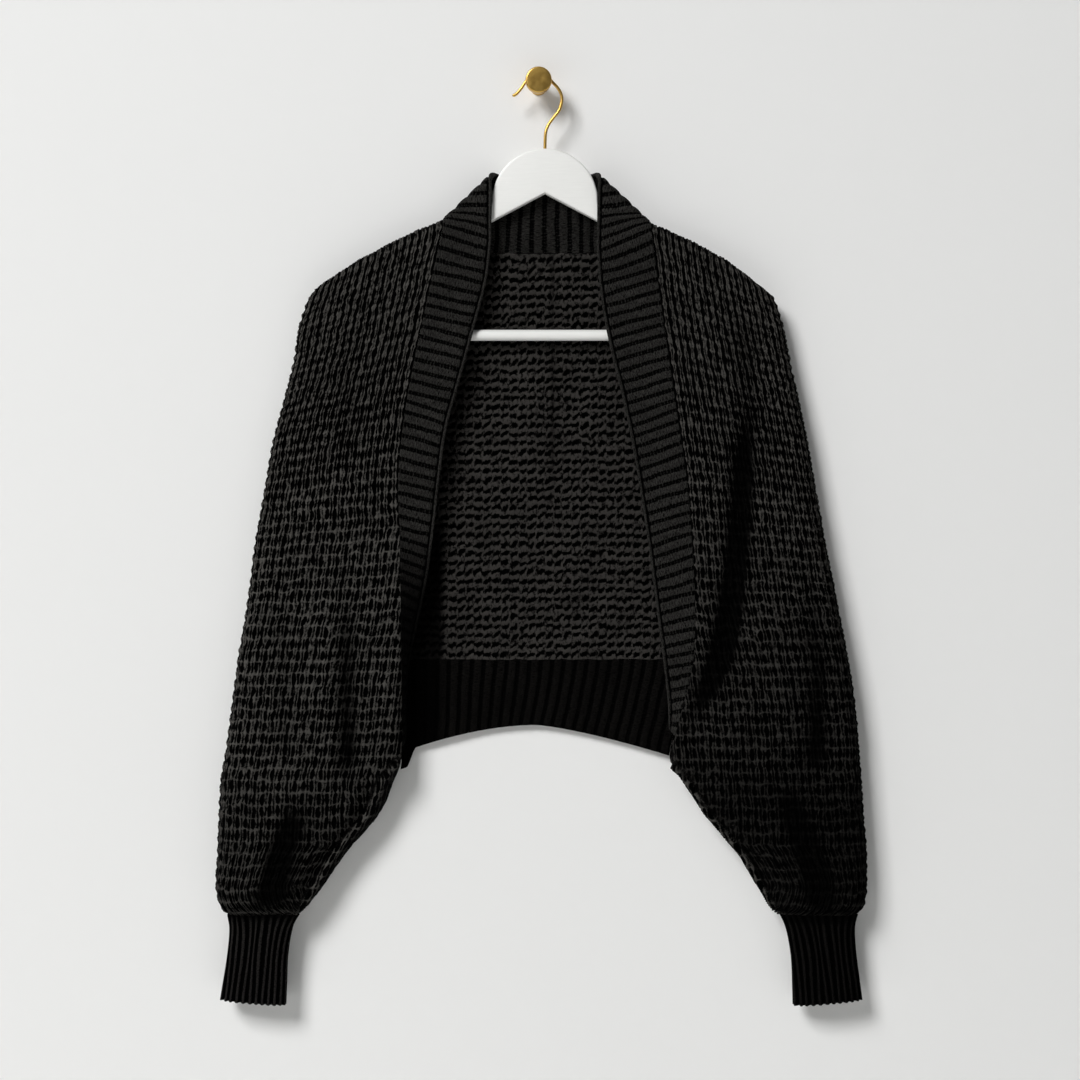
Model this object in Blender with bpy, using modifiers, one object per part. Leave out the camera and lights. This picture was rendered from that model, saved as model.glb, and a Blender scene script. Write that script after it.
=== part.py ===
"""A knitted shawl cardigan on a wooden hanger, hung by a brass hook from a round wall knob.

X runs to the right as seen from the front, Y into the wall and Z up. The origin is the centre of
the knob's back face, on the wall. A "drop" is a distance below that centre. The tables and the
sizes are in millimetres, and each mesh is turned into metres when it is made.

The cardigan is a cropped open wrap with deep sleeves cut in one with the body. Its front panels
and its back panels fold over the hanger's arms and meet along the overarm and the underarm. A
ribbed band runs up one front edge, round the neck and down the other. A ribbed hem closes the
back, and each sleeve is gathered into a ribbed cuff.
"""

import math

import bmesh
import bpy
import numpy as np

MM = 0.001
QUARTER = math.pi / 2

# Cloth and seams
CLOTH = 4.0
BAND_CLOTH = 3.6
SEAM_GAP = 0.3
TURNED_SEAM_GAP = 0.8
RIB_PITCH = 11.2
RIB_RISE = 1.4
CUFF_RIBS = 24
CUFF_RIB_RISE = 1.0
CUFF_CLOTH = 3.2

# Hanger: a flat board with a round head, two sloping arms, and a round bar between their ends
HANGER_X = 6.4
MIDDLE_Y = -22.0
BOARD_THICKNESS = 12.0
BOARD_EDGE_ROUND = 2.5
HEAD_RADIUS = 53.2
HEAD_DROP = 121.0
ARM_SLOPE = 0.518
ARM_START = 53.0
ARM_START_DROP = 123.8
UNDERSIDE_DROP = 112.5
UNDERSIDE_SLOPE = 0.53
BAR_RADIUS = 5.5
BAR_DROP = 254.5
BAR_HALF_LENGTH = 187.7
BAR_SOCKET_WIDTH = 19.0
ARM_TIP = 207.0
HEAD_STEPS = 12

# Wall knob and hook
KNOB_RADIUS = 13.1
KNOB_LENGTH = 33.8
KNOB_HEAD_LENGTH = 9.6
STEM_RADIUS = 5.5
FLANGE_RADIUS = 9.0
WIRE_RADIUS = 1.6

# Fold of the cloth over the hanger's arms
RIDGE_RADIUS = 8.5
UNDERARM_RADIUS = 8.0
RIDGE_BULGE = 4.0
CORNER_CUT = 5.0

# Outline of a half, seen from the front. The inner line is the band's seam, then the front fold,
# then the underarm. The outer line is the overarm. Row 0 lies just under the ridge, and the last
# row meets the cuff.
OUTLINE_COLUMNS = ("in_x", "in_drop", "out_x", "out_drop")
OUTLINE = {
    "left": [
        (-96.0, 147.0, -232.0, 217.0),
        (-105.4, 190.0, -240.6, 248.0),
        (-116.0, 240.0, -246.5, 284.0),
        (-126.5, 290.0, -256.0, 322.0),
        (-135.0, 340.0, -266.5, 362.0),
        (-140.6, 400.0, -275.5, 414.0),
        (-138.5, 460.0, -285.0, 469.0),
        (-137.5, 520.0, -292.3, 525.0),
        (-137.0, 580.0, -302.0, 583.0),
        (-136.5, 635.0, -309.0, 636.0),
        (-137.0, 674.0, -314.0, 674.0),
        (-144.0, 699.0, -318.6, 699.0),
        (-160.5, 735.0, -320.4, 735.0),
        (-194.0, 775.0, -322.4, 775.0),
        (-217.0, 808.0, -323.4, 810.0),
        (-231.0, 826.0, -318.8, 828.0),
        (-240.0, 834.7, -311.0, 834.7),
    ],
    "right": [
        (113.0, 150.5, 238.5, 216.5),
        (118.8, 195.0, 246.0, 249.0),
        (125.5, 243.0, 253.0, 284.0),
        (132.7, 292.0, 261.5, 322.0),
        (140.0, 342.0, 269.7, 362.0),
        (148.4, 400.0, 279.0, 414.0),
        (153.5, 460.0, 288.8, 469.0),
        (156.2, 520.0, 300.0, 525.0),
        (154.5, 580.0, 311.0, 583.0),
        (143.0, 630.0, 318.0, 632.0),
        (132.5, 678.0, 321.9, 678.0),
        (143.5, 699.0, 323.4, 699.0),
        (167.0, 735.0, 326.0, 735.0),
        (200.5, 775.0, 328.8, 775.0),
        (221.5, 808.0, 328.8, 810.0),
        (233.0, 826.0, 325.6, 828.0),
        (243.0, 834.7, 319.0, 834.7),
    ],
}

# Distance of the outer faces from the hanger's middle plane, and how far each inner edge is still
# from turning through to that plane (1 is not turned, 0 is turned all the way).
DEPTH_COLUMNS = ("front_in", "front_mid", "front_out", "back", "front_turn", "back_turn")
DEPTHS = [
    (10.4, 10.8, 10.4, 10.4, 1.0, 1.0),
    (10.8, 12.0, 11.0, 12.0, 1.0, 1.0),
    (11.0, 13.5, 12.0, 14.0, 1.0, 1.0),
    (11.0, 15.0, 13.0, 15.5, 1.0, 1.0),
    (11.5, 16.5, 14.0, 16.5, 1.0, 1.0),
    (12.0, 18.0, 15.0, 17.0, 1.0, 1.0),
    (13.5, 19.5, 16.0, 17.0, 1.0, 1.0),
    (15.0, 21.0, 17.0, 17.0, 0.85, 1.0),
    (16.0, 23.0, 18.0, 17.0, 0.6, 1.0),
    (16.5, 25.0, 18.0, 17.0, 0.45, 1.0),
    (16.0, 26.0, 18.0, 17.0, 0.35, 1.0),
    (14.0, 27.0, 18.0, 17.0, 0.0, 0.0),
    (13.0, 28.0, 18.0, 17.0, 0.0, 0.0),
    (13.0, 28.0, 18.0, 17.0, 0.0, 0.0),
    (13.0, 26.0, 18.0, 17.0, 0.0, 0.0),
    (13.0, 19.0, 16.0, 15.0, 0.0, 0.0),
    (13.0, 14.0, 13.0, 13.0, 0.0, 0.0),
]
LAST_ROW = len(DEPTHS) - 1
FRONT_TURNS_FROM_ROW = 6
HEM_ROW = 8
HEM_END_ROW = 10

# Large soft creases of the fronts: across is 0 at the inner line and 1 at the overarm
CREASE_COLUMNS = ("from_across", "from_row", "to_across", "to_row", "half_width", "depth")
CREASES = {
    "left": [
        (0.30, 5.5, 0.20, 11.0, 11.0, 3.5),
        (0.52, 11.5, 0.42, 15.0, 10.0, 4.0),
    ],
    "right": [
        (0.47, 4.0, 0.24, 10.0, 10.0, 5.0),
        (0.70, 1.0, 0.55, 4.5, 12.0, 2.0),
    ],
}

# Underarm: a rolled seam beside a crease, this wide on each side
UNDERARM_STRIP = {"left": 21.0, "right": 12.0}
UNDERARM_ROLL = 10.0
UNDERARM_FROM_ROW = 10.5
UNDERARM_FULL_ROW = 12.0

# Free edge of the band from its lower end up to the shoulder, and the row of the panel's inner
# line that each point is ribbed across to. Depth is in front of the hanger's middle plane.
EDGE_COLUMNS = ("x", "drop", "depth", "panel_row")
EDGE = {
    "left": [
        (-134.0, 664.0, -8.0, 9.8),
        (-134.0, 625.0, -8.0, 8.8),
        (-131.0, 584.0, -5.0, 8.0),
        (-122.0, 546.0, 2.0, 7.35),
        (-111.5, 500.0, 9.0, 6.55),
        (-104.0, 444.0, 11.0, 5.65),
        (-98.0, 391.0, 11.0, 4.75),
        (-91.0, 345.0, 11.0, 3.95),
        (-78.0, 298.0, 11.0, 3.05),
        (-66.0, 254.0, 11.0, 2.15),
        (-52.5, 203.0, 10.6, 1.15),
        (-47.6, 163.0, 10.4, 0.2),
    ],
    "right": [
        (131.0, 650.0, -4.0, 9.5),
        (129.5, 622.0, 3.0, 8.85),
        (124.5, 580.0, 9.0, 8.0),
        (118.0, 530.0, 11.0, 7.15),
        (111.0, 476.0, 11.0, 6.2),
        (103.5, 424.0, 11.0, 5.35),
        (94.5, 370.0, 11.0, 4.4),
        (84.0, 318.0, 11.0, 3.45),
        (71.5, 268.0, 11.0, 2.45),
        (62.0, 215.0, 10.6, 1.35),
        (58.3, 168.0, 10.4, 0.25),
    ],
}

# Neck: where the band's free edge crosses the fold, and its course behind the hanger
NECK_TIP = {"left": (-46.2, 91.6), "right": (59.0, 91.6)}
NECK_EDGE_DROP = 98.0
NECK_DEPTH = 11.6

# The back's neck seam slopes from the shoulders and is level over the middle of the back. The
# knit's rows beneath it even out over this many rows.
NECK_SEAM_DROP = 171.4
NECK_SEAM_LEVEL_SHARE = 0.5
NECK_DIP_ROWS = 3

# Shares of the free edge's way up to the neck tip, then of its way on to the centre of the back,
# each with the key of the seam place across from it (see seam_place)
SHOULDER_SHARES = [(0.2, -0.5), (0.36, -1.3), (0.5, -1.95), (0.75, -2.18)]
NECK_SHARES = [(0.0, -2.38), (0.5, -2.69), (1.0, -3.0)]
BAND_POINTS = 9

# Hem and cuffs
HEM_RIBS = 25
HEM_POINTS_DOWN = 3
HEM_ARCH = 29.0
HEM_ARCH_POWER = {"left": 1.75, "right": 1.35}
HEM_TAB_DROP = 17.0
HEM_TAB_WIDTH = 8.0
CUFF_SQUARENESS = 2.6
CUFF_COLUMNS = ("drop_out", "drop_in", "x_out", "x_in", "half_depth")
CUFFS = {
    "left": [
        (835.0, 835.0, -311.0, -241.0, 13.0),
        (850.0, 850.0, -309.0, -247.6, 12.5),
        (875.0, 876.0, -311.4, -251.8, 12.5),
        (900.0, 903.0, -315.2, -253.0, 13.0),
        (920.0, 925.5, -318.6, -254.2, 13.5),
    ],
    "right": [
        (835.0, 835.0, 319.0, 243.0, 13.0),
        (850.0, 850.0, 316.6, 249.0, 12.5),
        (875.0, 876.0, 318.0, 253.6, 12.5),
        (900.0, 902.0, 321.4, 255.2, 13.0),
        (920.0, 926.0, 323.8, 256.2, 13.5),
    ],
}

# Hook: centre line from its tip over the knob's stem and down into the hanger's head
HOOK_ROUTE_COLUMNS = ("x", "drop")
HOOK_ROUTE = [
    (-26.3, 14.4),
    (-22.1, 12.0),
    (-17.2, 6.3),
    (-14.0, 1.4),
    (-8.5, -5.0),
    (0.0, -STEM_RADIUS - WIRE_RADIUS - SEAM_GAP),
    (8.4, -5.2),
    (14.6, 1.2),
    (19.2, 6.2),
    (22.6, 12.5),
    (23.2, 19.5),
    (20.6, 28.6),
    (15.1, 35.8),
    (10.1, 42.8),
    (7.3, 50.0),
    (6.6, 58.0),
    (HANGER_X, HEAD_DROP - HEAD_RADIUS - SEAM_GAP),
]
HOOK_STEPS = 3


def linear_colour(hexadecimal):
    """Linear RGBA of an sRGB colour written as #rrggbb."""
    values = [int(hexadecimal[i : i + 2], 16) / 255 for i in (1, 3, 5)]
    linear = [v / 12.92 if v <= 0.04045 else ((v + 0.055) / 1.055) ** 2.4 for v in values]
    return (*linear, 1.0)


def material(name, colour, roughness, metallic=0.0):
    """A plain Principled material."""
    made = bpy.data.materials.new(name)
    made.use_nodes = True
    shader = made.node_tree.nodes["Principled BSDF"]
    shader.inputs["Base Color"].default_value = linear_colour(colour)
    shader.inputs["Roughness"].default_value = roughness
    shader.inputs["Metallic"].default_value = metallic
    return made


def smooth_rows(table, at):
    """Values on a smooth curve through a table's rows, where `at` counts the rows from 0."""
    rows = np.array(table, float)
    at = np.asarray(at, float)
    low = np.clip(np.floor(at).astype(int), 0, len(rows) - 2)
    part = (at - low)[..., None]
    before = rows[np.maximum(low - 1, 0)]
    here = rows[low]
    after = rows[low + 1]
    beyond = rows[np.minimum(low + 2, len(rows) - 1)]
    slope = (after - before) * part
    bend = (2 * before - 5 * here + 4 * after - beyond) * part**2
    twist = (3 * here - before - 3 * after + beyond) * part**3
    return 0.5 * (2 * here + slope + bend + twist)


def rolled_edge(arc, radius, below):
    """Cloth that turns over at an edge: how far in the point at this arc length lies, and the
    share of the full depth that it has reached. `below` is its distance under the outer face."""
    angle = np.clip(arc / radius, 0, QUARTER)
    inset = radius - (radius - below) * np.cos(angle) + np.maximum(arc - radius * QUARTER, 0)
    return inset, np.sin(angle)


def ease(value):
    """A smooth step from 0 to 1."""
    value = np.clip(value, 0, 1)
    return value * value * (3 - 2 * value)


def crease_depth(side, x, in_x, out_x, row):
    """Depth of the front's large soft creases, each a trough along a line down the panel."""
    depth = np.zeros_like(x)
    for from_across, from_row, to_across, to_row, half_width, trough in CREASES[side]:
        part = (row - from_row) / (to_row - from_row)
        across = from_across + (to_across - from_across) * part
        distance = x - (in_x + across * (out_x - in_x))
        ends = ease(part / 0.3) * ease((1 - part) / 0.3)
        depth += trough * ends * np.exp(-((distance / half_width) ** 2))
    return depth


def panel_points(side, face, across, row, below):
    """Points of a front panel (face -1) or a back panel (face 1), in millimetres.

    `across` runs from 0 at the inner line to 1 at the overarm, and on a back panel from -1 at the
    centre of the back. `row` runs down the tables, and from -1 at the ridge to 0 it rolls over the
    hanger. `below` is the distance under the outer face.
    """
    across, row = np.broadcast_arrays(np.asarray(across, float), np.asarray(row, float))
    table_row = np.maximum(row, 0)
    in_x, in_drop, out_x, out_drop = np.moveaxis(smooth_rows(OUTLINE[side], table_row), -1, 0)
    depths = np.moveaxis(smooth_rows(DEPTHS, table_row), -1, 0)
    front_in, front_mid, front_out, back, front_turn, back_turn = depths
    outward = np.sign(out_x - in_x)

    turn = QUARTER * np.clip(front_turn if face < 0 else back_turn, 0, 1)
    edge_radius = front_out if face < 0 else back
    silhouette = in_x - outward * UNDERARM_RADIUS * (1 - np.cos(turn))
    arc_length = abs(out_x - silhouette) + (QUARTER - 1) * (UNDERARM_RADIUS + edge_radius)
    start = UNDERARM_RADIUS * turn
    arc = start + np.maximum(across, 0) * (arc_length - start)
    in_inset, in_share = rolled_edge(arc, UNDERARM_RADIUS, below)
    out_inset, out_share = rolled_edge(arc_length - arc, edge_radius, below)
    near_in = arc < arc_length / 2
    x = np.where(near_in, silhouette + outward * in_inset, out_x - outward * out_inset)

    part = np.clip((x - in_x) / (out_x - in_x), 0, 1)
    if face < 0:
        depth = front_in * (1 - part) * (1 - 2 * part)
        depth += 4 * front_mid * part * (1 - part) + front_out * part * (2 * part - 1)
        depth -= crease_depth(side, x, in_x, out_x, row)
        under = ease((row - UNDERARM_FROM_ROW) / (UNDERARM_FULL_ROW - UNDERARM_FROM_ROW))
        past_strip = ease((abs(x - in_x) - UNDERARM_STRIP[side]) / UNDERARM_ROLL)
        depth += under * (1 - past_strip) * (UNDERARM_ROLL - depth)
    else:
        depth = back

    ridge_angle = QUARTER * (1 + np.minimum(row, 0))
    over_ridge = np.cos(ridge_angle)
    bulge = RIDGE_BULGE * 4 * part * (1 - part) * np.maximum(1 - table_row, 0)
    drop = in_drop + (out_drop - in_drop) * part - bulge - (RIDGE_RADIUS - below) * over_ridge
    x = x - outward * CORNER_CUT * over_ridge * part**4
    share = in_share * out_share * np.sin(ridge_angle)
    y = MIDDLE_Y + face * ((depth - below) * share + SEAM_GAP / 2)

    inward = np.maximum(-across, 0)
    x = x + inward * (HANGER_X + outward * SEAM_GAP / 2 - in_x)
    dip = (NECK_SEAM_DROP - OUTLINE[side][0][1]) * np.minimum(inward / NECK_SEAM_LEVEL_SHARE, 1)
    drop = drop + dip * np.maximum(1 - table_row / NECK_DIP_ROWS, 0)
    return np.stack([x, y, -drop], axis=-1)


def finish(name, mesh_data, made_material, collection):
    """Make an object of a bmesh in millimetres, closed and with its faces pointing out."""
    bmesh.ops.delete(mesh_data, geom=[v for v in mesh_data.verts if not v.link_faces], context="VERTS")
    bmesh.ops.scale(mesh_data, vec=(MM, MM, MM), verts=mesh_data.verts)
    bmesh.ops.recalc_face_normals(mesh_data, faces=mesh_data.faces)
    mesh = bpy.data.meshes.new(name)
    mesh_data.to_mesh(mesh)
    mesh_data.free()
    mesh.shade_smooth()
    mesh.set_sharp_from_angle(angle=math.radians(50))
    mesh.materials.append(made_material)
    made = bpy.data.objects.new(name, mesh)
    collection.objects.link(made)
    return made


def cloth_wall(name, outer, inner, made_material, collection, keep=None, wrap=False):
    """A closed wall between an outer and an inner grid of points. `keep` says which cells are
    cloth, and `wrap` joins the last column to the first, as on a tube."""
    rows, columns = outer.shape[:2]
    cells = columns if wrap else columns - 1
    if keep is None:
        keep = np.ones((rows - 1, cells), bool)
    mesh_data = bmesh.new()
    outer_verts = [mesh_data.verts.new(p) for p in outer.reshape(-1, 3)]
    inner_verts = [mesh_data.verts.new(p) for p in inner.reshape(-1, 3)]
    edges = {}
    for i, j in zip(*np.nonzero(keep)):
        right = (j + 1) % columns
        corners = [i * columns + j, i * columns + right, (i + 1) * columns + right, (i + 1) * columns + j]
        mesh_data.faces.new([outer_verts[k] for k in corners])
        mesh_data.faces.new([inner_verts[k] for k in reversed(corners)])
        for a, b in zip(corners, corners[1:] + corners[:1]):
            edges.setdefault(frozenset((a, b)), []).append((a, b))
    for uses in edges.values():
        if len(uses) == 1:
            a, b = uses[0]
            mesh_data.faces.new([outer_verts[b], outer_verts[a], inner_verts[a], inner_verts[b]])
    return finish(name, mesh_data, made_material, collection)


def front_columns():
    """Columns of a front panel: close together where the edges roll and the underarm is creased."""
    inner = [0, 0.022, 0.05, 0.09, 0.125, 0.16, 0.21]
    middle = list(np.linspace(0.3, 0.8, 6))
    outer = [0.875, 0.92, 0.96, 1.0]
    return np.array(inner + middle + outer)


def panel_rows():
    """Rows of a panel: four over the ridge, and one for each table row below it."""
    ridge = [-1, -0.75, -0.5, -0.25]
    return np.array(ridge + list(range(LAST_ROW + 1)), float)


def build_fronts(cloth, collection):
    """The two front panels, each with the front half of a sleeve."""
    rows = panel_rows()[:, None]
    columns = front_columns()[None, :]
    for side in OUTLINE:
        outer = panel_points(side, -1, columns, rows, 0.0)
        inner = panel_points(side, -1, columns, rows, CLOTH)
        cloth_wall(f"front_{side}", outer, inner, cloth, collection)


def build_backs(cloth, collection):
    """The two back panels. Between the neck band and the hem each one reaches to the centre."""
    rows = panel_rows()
    body = np.linspace(-1, 0, 5)[:-1]
    sleeve = np.array([0, 0.03, 0.08, 0.2, 0.35, 0.5, 0.65, 0.8, 0.875, 0.92, 0.96, 1.0])
    columns = np.concatenate([body, sleeve])
    below_ridge = rows[:-1] >= 0
    above_hem = rows[:-1] < HEM_ROW
    reaches_centre = below_ridge & above_hem
    in_sleeve = columns[:-1] >= 0
    keep = reaches_centre[:, None] | in_sleeve[None, :]
    for side in OUTLINE:
        outer = panel_points(side, 1, columns[None, :], rows[:, None], 0.0)
        inner = panel_points(side, 1, columns[None, :], rows[:, None], CLOTH)
        cloth_wall(f"back_{side}", outer, inner, cloth, collection, keep)


def mitre(side):
    """The band's fold at the shoulder: a point on its line, the direction from it into the
    garment, and the radius that meets the panels' ridge."""
    tip = np.array(NECK_TIP[side])
    shoulder = panel_points(side, -1, 0.0, -1.0, 0.0)
    along = np.array([shoulder[0], -shoulder[2]]) - tip
    along /= np.linalg.norm(along)
    into = np.array([-along[1], along[0]])
    into *= np.sign(into[1])
    return tip, into, RIDGE_RADIUS * into[1]


def unfold(side, x, drop, behind):
    """Lay a point of the band flat, in the front's plane continued past the shoulder fold."""
    tip, into, radius = mitre(side)
    distance = max((x - tip[0]) * into[0] + (drop - tip[1]) * into[1], 0.0)
    if distance < radius:
        arc = radius * math.acos(1 - distance / radius)
    else:
        arc = distance + radius * (QUARTER - 1)
    shift = (-arc if behind else arc) - distance
    return np.array([x, drop]) + into * shift


def fold(side, flat, depth):
    """Fold flat points of the band over the hanger at the shoulder, with their depth."""
    tip, into, radius = mitre(side)
    arc = (flat - tip) @ into
    inset, share = rolled_edge(abs(arc), radius, 0.0)
    place = flat + into * (inset - arc)[..., None]
    y = MIDDLE_Y - np.sign(arc) * depth * share
    return np.stack([place[..., 0], y, -place[..., 1]], axis=-1)


def panel_edge(side, face, across, row, below):
    """A point of a panel's edge, on the straight sides that its built wall has between its rows."""
    rows = panel_rows()
    above = int(np.clip(np.searchsorted(rows, row, side="right") - 1, 0, len(rows) - 2))
    part = (row - rows[above]) / (rows[above + 1] - rows[above])
    ends = panel_points(side, face, across, rows[above : above + 2], below)
    return ends[0] + (ends[1] - ends[0]) * part


def seam_place(side, key):
    """The panels' edge that the band is sewn to: the place laid flat, its depth, and the step from
    the outer to the inner face. Keys from 0 up are rows of the front, -1 is the ridge at the
    shoulder, -2 is the corner of the back's neck and -3 is the centre of the back."""
    outward = -1 if side == "left" else 1
    behind = key < -1
    if behind:
        face, row, across = 1, min(-2 - key, 0.0), min(key + 2, 0.0)
    else:
        face, row, across = -1, key, 0.0
    outer = panel_edge(side, face, across, row, 0.0)
    inner = panel_edge(side, face, across, row, CLOTH)
    turned = float(np.clip(max(0.5 - key, key - FRONT_TURNS_FROM_ROW), 0, 1))
    gap = SEAM_GAP + (TURNED_SEAM_GAP - SEAM_GAP) * turned
    sideways = gap * float(np.clip((key + 2.1) / 0.1, 0, 1))
    upward = gap * float(np.clip((-key - 1.8) / 0.2, 0, 1))
    flat = unfold(side, outer[0] - outward * sideways, -outer[2] - upward, behind)
    depth = abs(panel_edge(side, face, across, max(row, 0.0), 0.0)[1] - MIDDLE_Y)
    return flat, depth, (inner - outer) * BAND_CLOTH / CLOTH


def band_table(side):
    """Rows of the band from its lower end to the centre of the back: the free edge laid flat, its
    depth, and the key of the seam place across from it."""
    rows = [(*unfold(side, x, drop, False), depth, key) for x, drop, depth, key in EDGE[side]]
    start_x, start_drop, depth, _ = EDGE[side][-1]
    tip_x, tip_drop = NECK_TIP[side]
    for share, key in SHOULDER_SHARES:
        x = start_x + (tip_x - start_x) * share
        drop = start_drop + (tip_drop - start_drop) * share
        rows.append((*unfold(side, x, drop, False), depth, key))
    for share, key in NECK_SHARES:
        x = tip_x + (HANGER_X - tip_x) * share
        drop = tip_drop + (NECK_EDGE_DROP - tip_drop) * math.sin(QUARTER * share)
        rows.append((*unfold(side, x, drop, True), NECK_DEPTH, key))
    return rows


def band_stations(side):
    """Places along the band's rows, two to a rib, evenly spaced on the free edge."""
    table = band_table(side)
    fine = np.linspace(0, len(table) - 1, 60 * len(table))
    edge = smooth_rows(table, fine)[:, :2]
    length = np.concatenate([[0], np.cumsum(np.linalg.norm(np.diff(edge, axis=0), axis=1))])
    ribs = round(length[-1] / RIB_PITCH)
    return np.interp(np.linspace(0, length[-1], 2 * ribs + 1), length, fine)


def band_half(side):
    """Outer points of half the band before its ribs are raised, the step to the inner face at the
    seam, and whether each station lies near the shoulder fold, where it needs more points."""
    across = np.linspace(0, 1, BAND_POINTS)
    points = []
    seam_steps = []
    folded = []
    for edge_x, edge_drop, edge_depth, key in smooth_rows(band_table(side), band_stations(side)):
        seam, seam_depth, step = seam_place(side, key)
        flat = np.array([edge_x, edge_drop]) * (1 - across[:, None]) + seam * across[:, None]
        points.append(fold(side, flat, edge_depth + (seam_depth - edge_depth) * across))
        seam_steps.append(step)
        folded.append(key < 0.3)
    return np.array(points), np.array(seam_steps), folded


def stitch(mesh_data, row_a, row_b):
    """Faces between two rows of (place, vertex) pairs that may differ in number."""
    i = j = 0
    while i < len(row_a) - 1 or j < len(row_b) - 1:
        more_a = i < len(row_a) - 1
        more_b = j < len(row_b) - 1
        if more_a and more_b and row_a[i + 1][0] == row_b[j + 1][0]:
            corners = [row_a[i][1], row_a[i + 1][1], row_b[j + 1][1], row_b[j][1]]
            i += 1
            j += 1
        elif more_a and (not more_b or row_a[i + 1][0] < row_b[j + 1][0]):
            corners = [row_a[i][1], row_a[i + 1][1], row_b[j][1]]
            i += 1
        else:
            corners = [row_a[i][1], row_b[j + 1][1], row_b[j][1]]
            j += 1
        mesh_data.faces.new(corners)


def build_band(rib_knit, collection):
    """The ribbed band: up the left front, round the neck behind the hanger, down the right front."""
    left, left_steps, left_folded = band_half("left")
    right, right_steps, right_folded = band_half("right")
    base = np.concatenate([left, right[-2::-1]])
    seam_steps = np.concatenate([left_steps, right_steps[-2::-1]])
    folded = left_folded + right_folded[-2::-1]

    normal = np.cross(np.gradient(base, axis=0), np.gradient(base, axis=1))
    normal /= np.linalg.norm(normal, axis=-1)[..., None]
    crest = (np.arange(len(base)) % 2)[:, None, None]
    outer = base + normal * RIB_RISE * crest
    inner = base - normal * BAND_CLOTH
    inner[:, -1] = base[:, -1] + seam_steps

    mesh_data = bmesh.new()
    rows = []
    for i, close in enumerate(folded):
        used = range(BAND_POINTS) if close else range(0, BAND_POINTS, (BAND_POINTS - 1) // 2)
        rows.append([[(j, mesh_data.verts.new(grid[i, j])) for j in used] for grid in (outer, inner)])
    for (outer_a, inner_a), (outer_b, inner_b) in zip(rows, rows[1:]):
        stitch(mesh_data, outer_a, outer_b)
        stitch(mesh_data, inner_b, inner_a)
        for k in (0, -1):
            corners = [outer_a[k][1], outer_b[k][1], inner_b[k][1], inner_a[k][1]]
            mesh_data.faces.new(corners if k == 0 else corners[::-1])
    for outer_row, inner_row in (rows[0], rows[-1]):
        mesh_data.faces.new([vertex for _, vertex in outer_row + inner_row[::-1]])
    finish("band", mesh_data, rib_knit, collection)


def build_hem(rib_knit, collection):
    """The back's ribbed hem, between the lower ends of the band, with an arched lower edge."""
    across = np.linspace(0, 1, 2 * HEM_RIBS + 1)[None, :]
    rows = np.linspace(HEM_ROW, HEM_END_ROW, HEM_POINTS_DOWN)[:, None]
    left = panel_points("left", 1, 0.0, rows, 0.0)
    right = panel_points("right", 1, 0.0, rows, 0.0)
    start_x = left[..., 0] + SEAM_GAP
    x = start_x + (right[..., 0] - SEAM_GAP - start_x) * across
    end_drop = -left[..., 2] - (right[..., 2] - left[..., 2]) * across
    down = (rows - HEM_ROW) / (HEM_END_ROW - HEM_ROW)
    power = np.where(across < 0.5, HEM_ARCH_POWER["left"], HEM_ARCH_POWER["right"])
    lift = HEM_ARCH * (1 - abs(2 * across - 1) ** power)
    tab = HEM_TAB_DROP * ease(1 - (x - start_x) / HEM_TAB_WIDTH)
    drop = end_drop + (tab - lift) * down + SEAM_GAP * (1 - down)
    crest = (np.arange(across.size) % 2)[None, :]
    face = np.full_like(x, left[0, 0, 1])
    outer = np.stack([x, face + RIB_RISE * crest, -drop], axis=-1)
    inner = np.stack([x, face - BAND_CLOTH, -drop], axis=-1)
    cloth_wall("back_hem", outer, inner, rib_knit, collection)


def cuff_ring(x_out, x_in, half_depth):
    """Points and outward directions round a flattened tube, evenly spaced, two to a rib."""
    angle = np.linspace(0, 4 * QUARTER, 721)
    cosine = np.cos(angle)
    sine = np.sin(angle)
    half_width = abs(x_out - x_in) / 2
    x = (x_out + x_in) / 2 + half_width * np.sign(cosine) * abs(cosine) ** (2 / CUFF_SQUARENESS)
    y = MIDDLE_Y + half_depth * np.sign(sine) * abs(sine) ** (2 / CUFF_SQUARENESS)
    length = np.concatenate([[0], np.cumsum(np.hypot(np.diff(x), np.diff(y)))])
    places = np.linspace(0, length[-1], 2 * CUFF_RIBS + 1)[:-1]
    ring = np.stack([np.interp(places, length, x), np.interp(places, length, y)], axis=-1)
    ahead = np.roll(ring, -1, axis=0) - np.roll(ring, 1, axis=0)
    direction = np.stack([ahead[:, 1], -ahead[:, 0]], axis=-1)
    return ring, direction / np.linalg.norm(direction, axis=1)[:, None]


def build_cuffs(rib_knit, collection):
    """The ribbed cuffs, each a flattened tube under its sleeve."""
    for side, table in CUFFS.items():
        outer = []
        inner = []
        for drop_out, drop_in, x_out, x_in, half_depth in table:
            ring, direction = cuff_ring(x_out, x_in, half_depth)
            crest = (np.arange(2 * CUFF_RIBS) % 2)[:, None]
            drop = drop_out + (drop_in - drop_out) * (ring[:, :1] - x_out) / (x_in - x_out)
            outer.append(np.hstack([ring + direction * CUFF_RIB_RISE * crest, -drop]))
            inner.append(np.hstack([ring - direction * CUFF_CLOTH, -drop]))
        cloth_wall(f"cuff_{side}", np.array(outer), np.array(inner), rib_knit, collection, wrap=True)


def add_curve(name, points, made_material, collection, closed=False):
    """A curve object through points in millimetres, on one POLY spline."""
    curve = bpy.data.curves.new(name, "CURVE")
    spline = curve.splines.new("POLY")
    spline.points.add(len(points) - 1)
    for point, place in zip(spline.points, points):
        point.co = (*(value * MM for value in place), 1.0)
    spline.use_cyclic_u = closed
    curve.materials.append(made_material)
    made = bpy.data.objects.new(name, curve)
    collection.objects.link(made)
    return made


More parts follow.
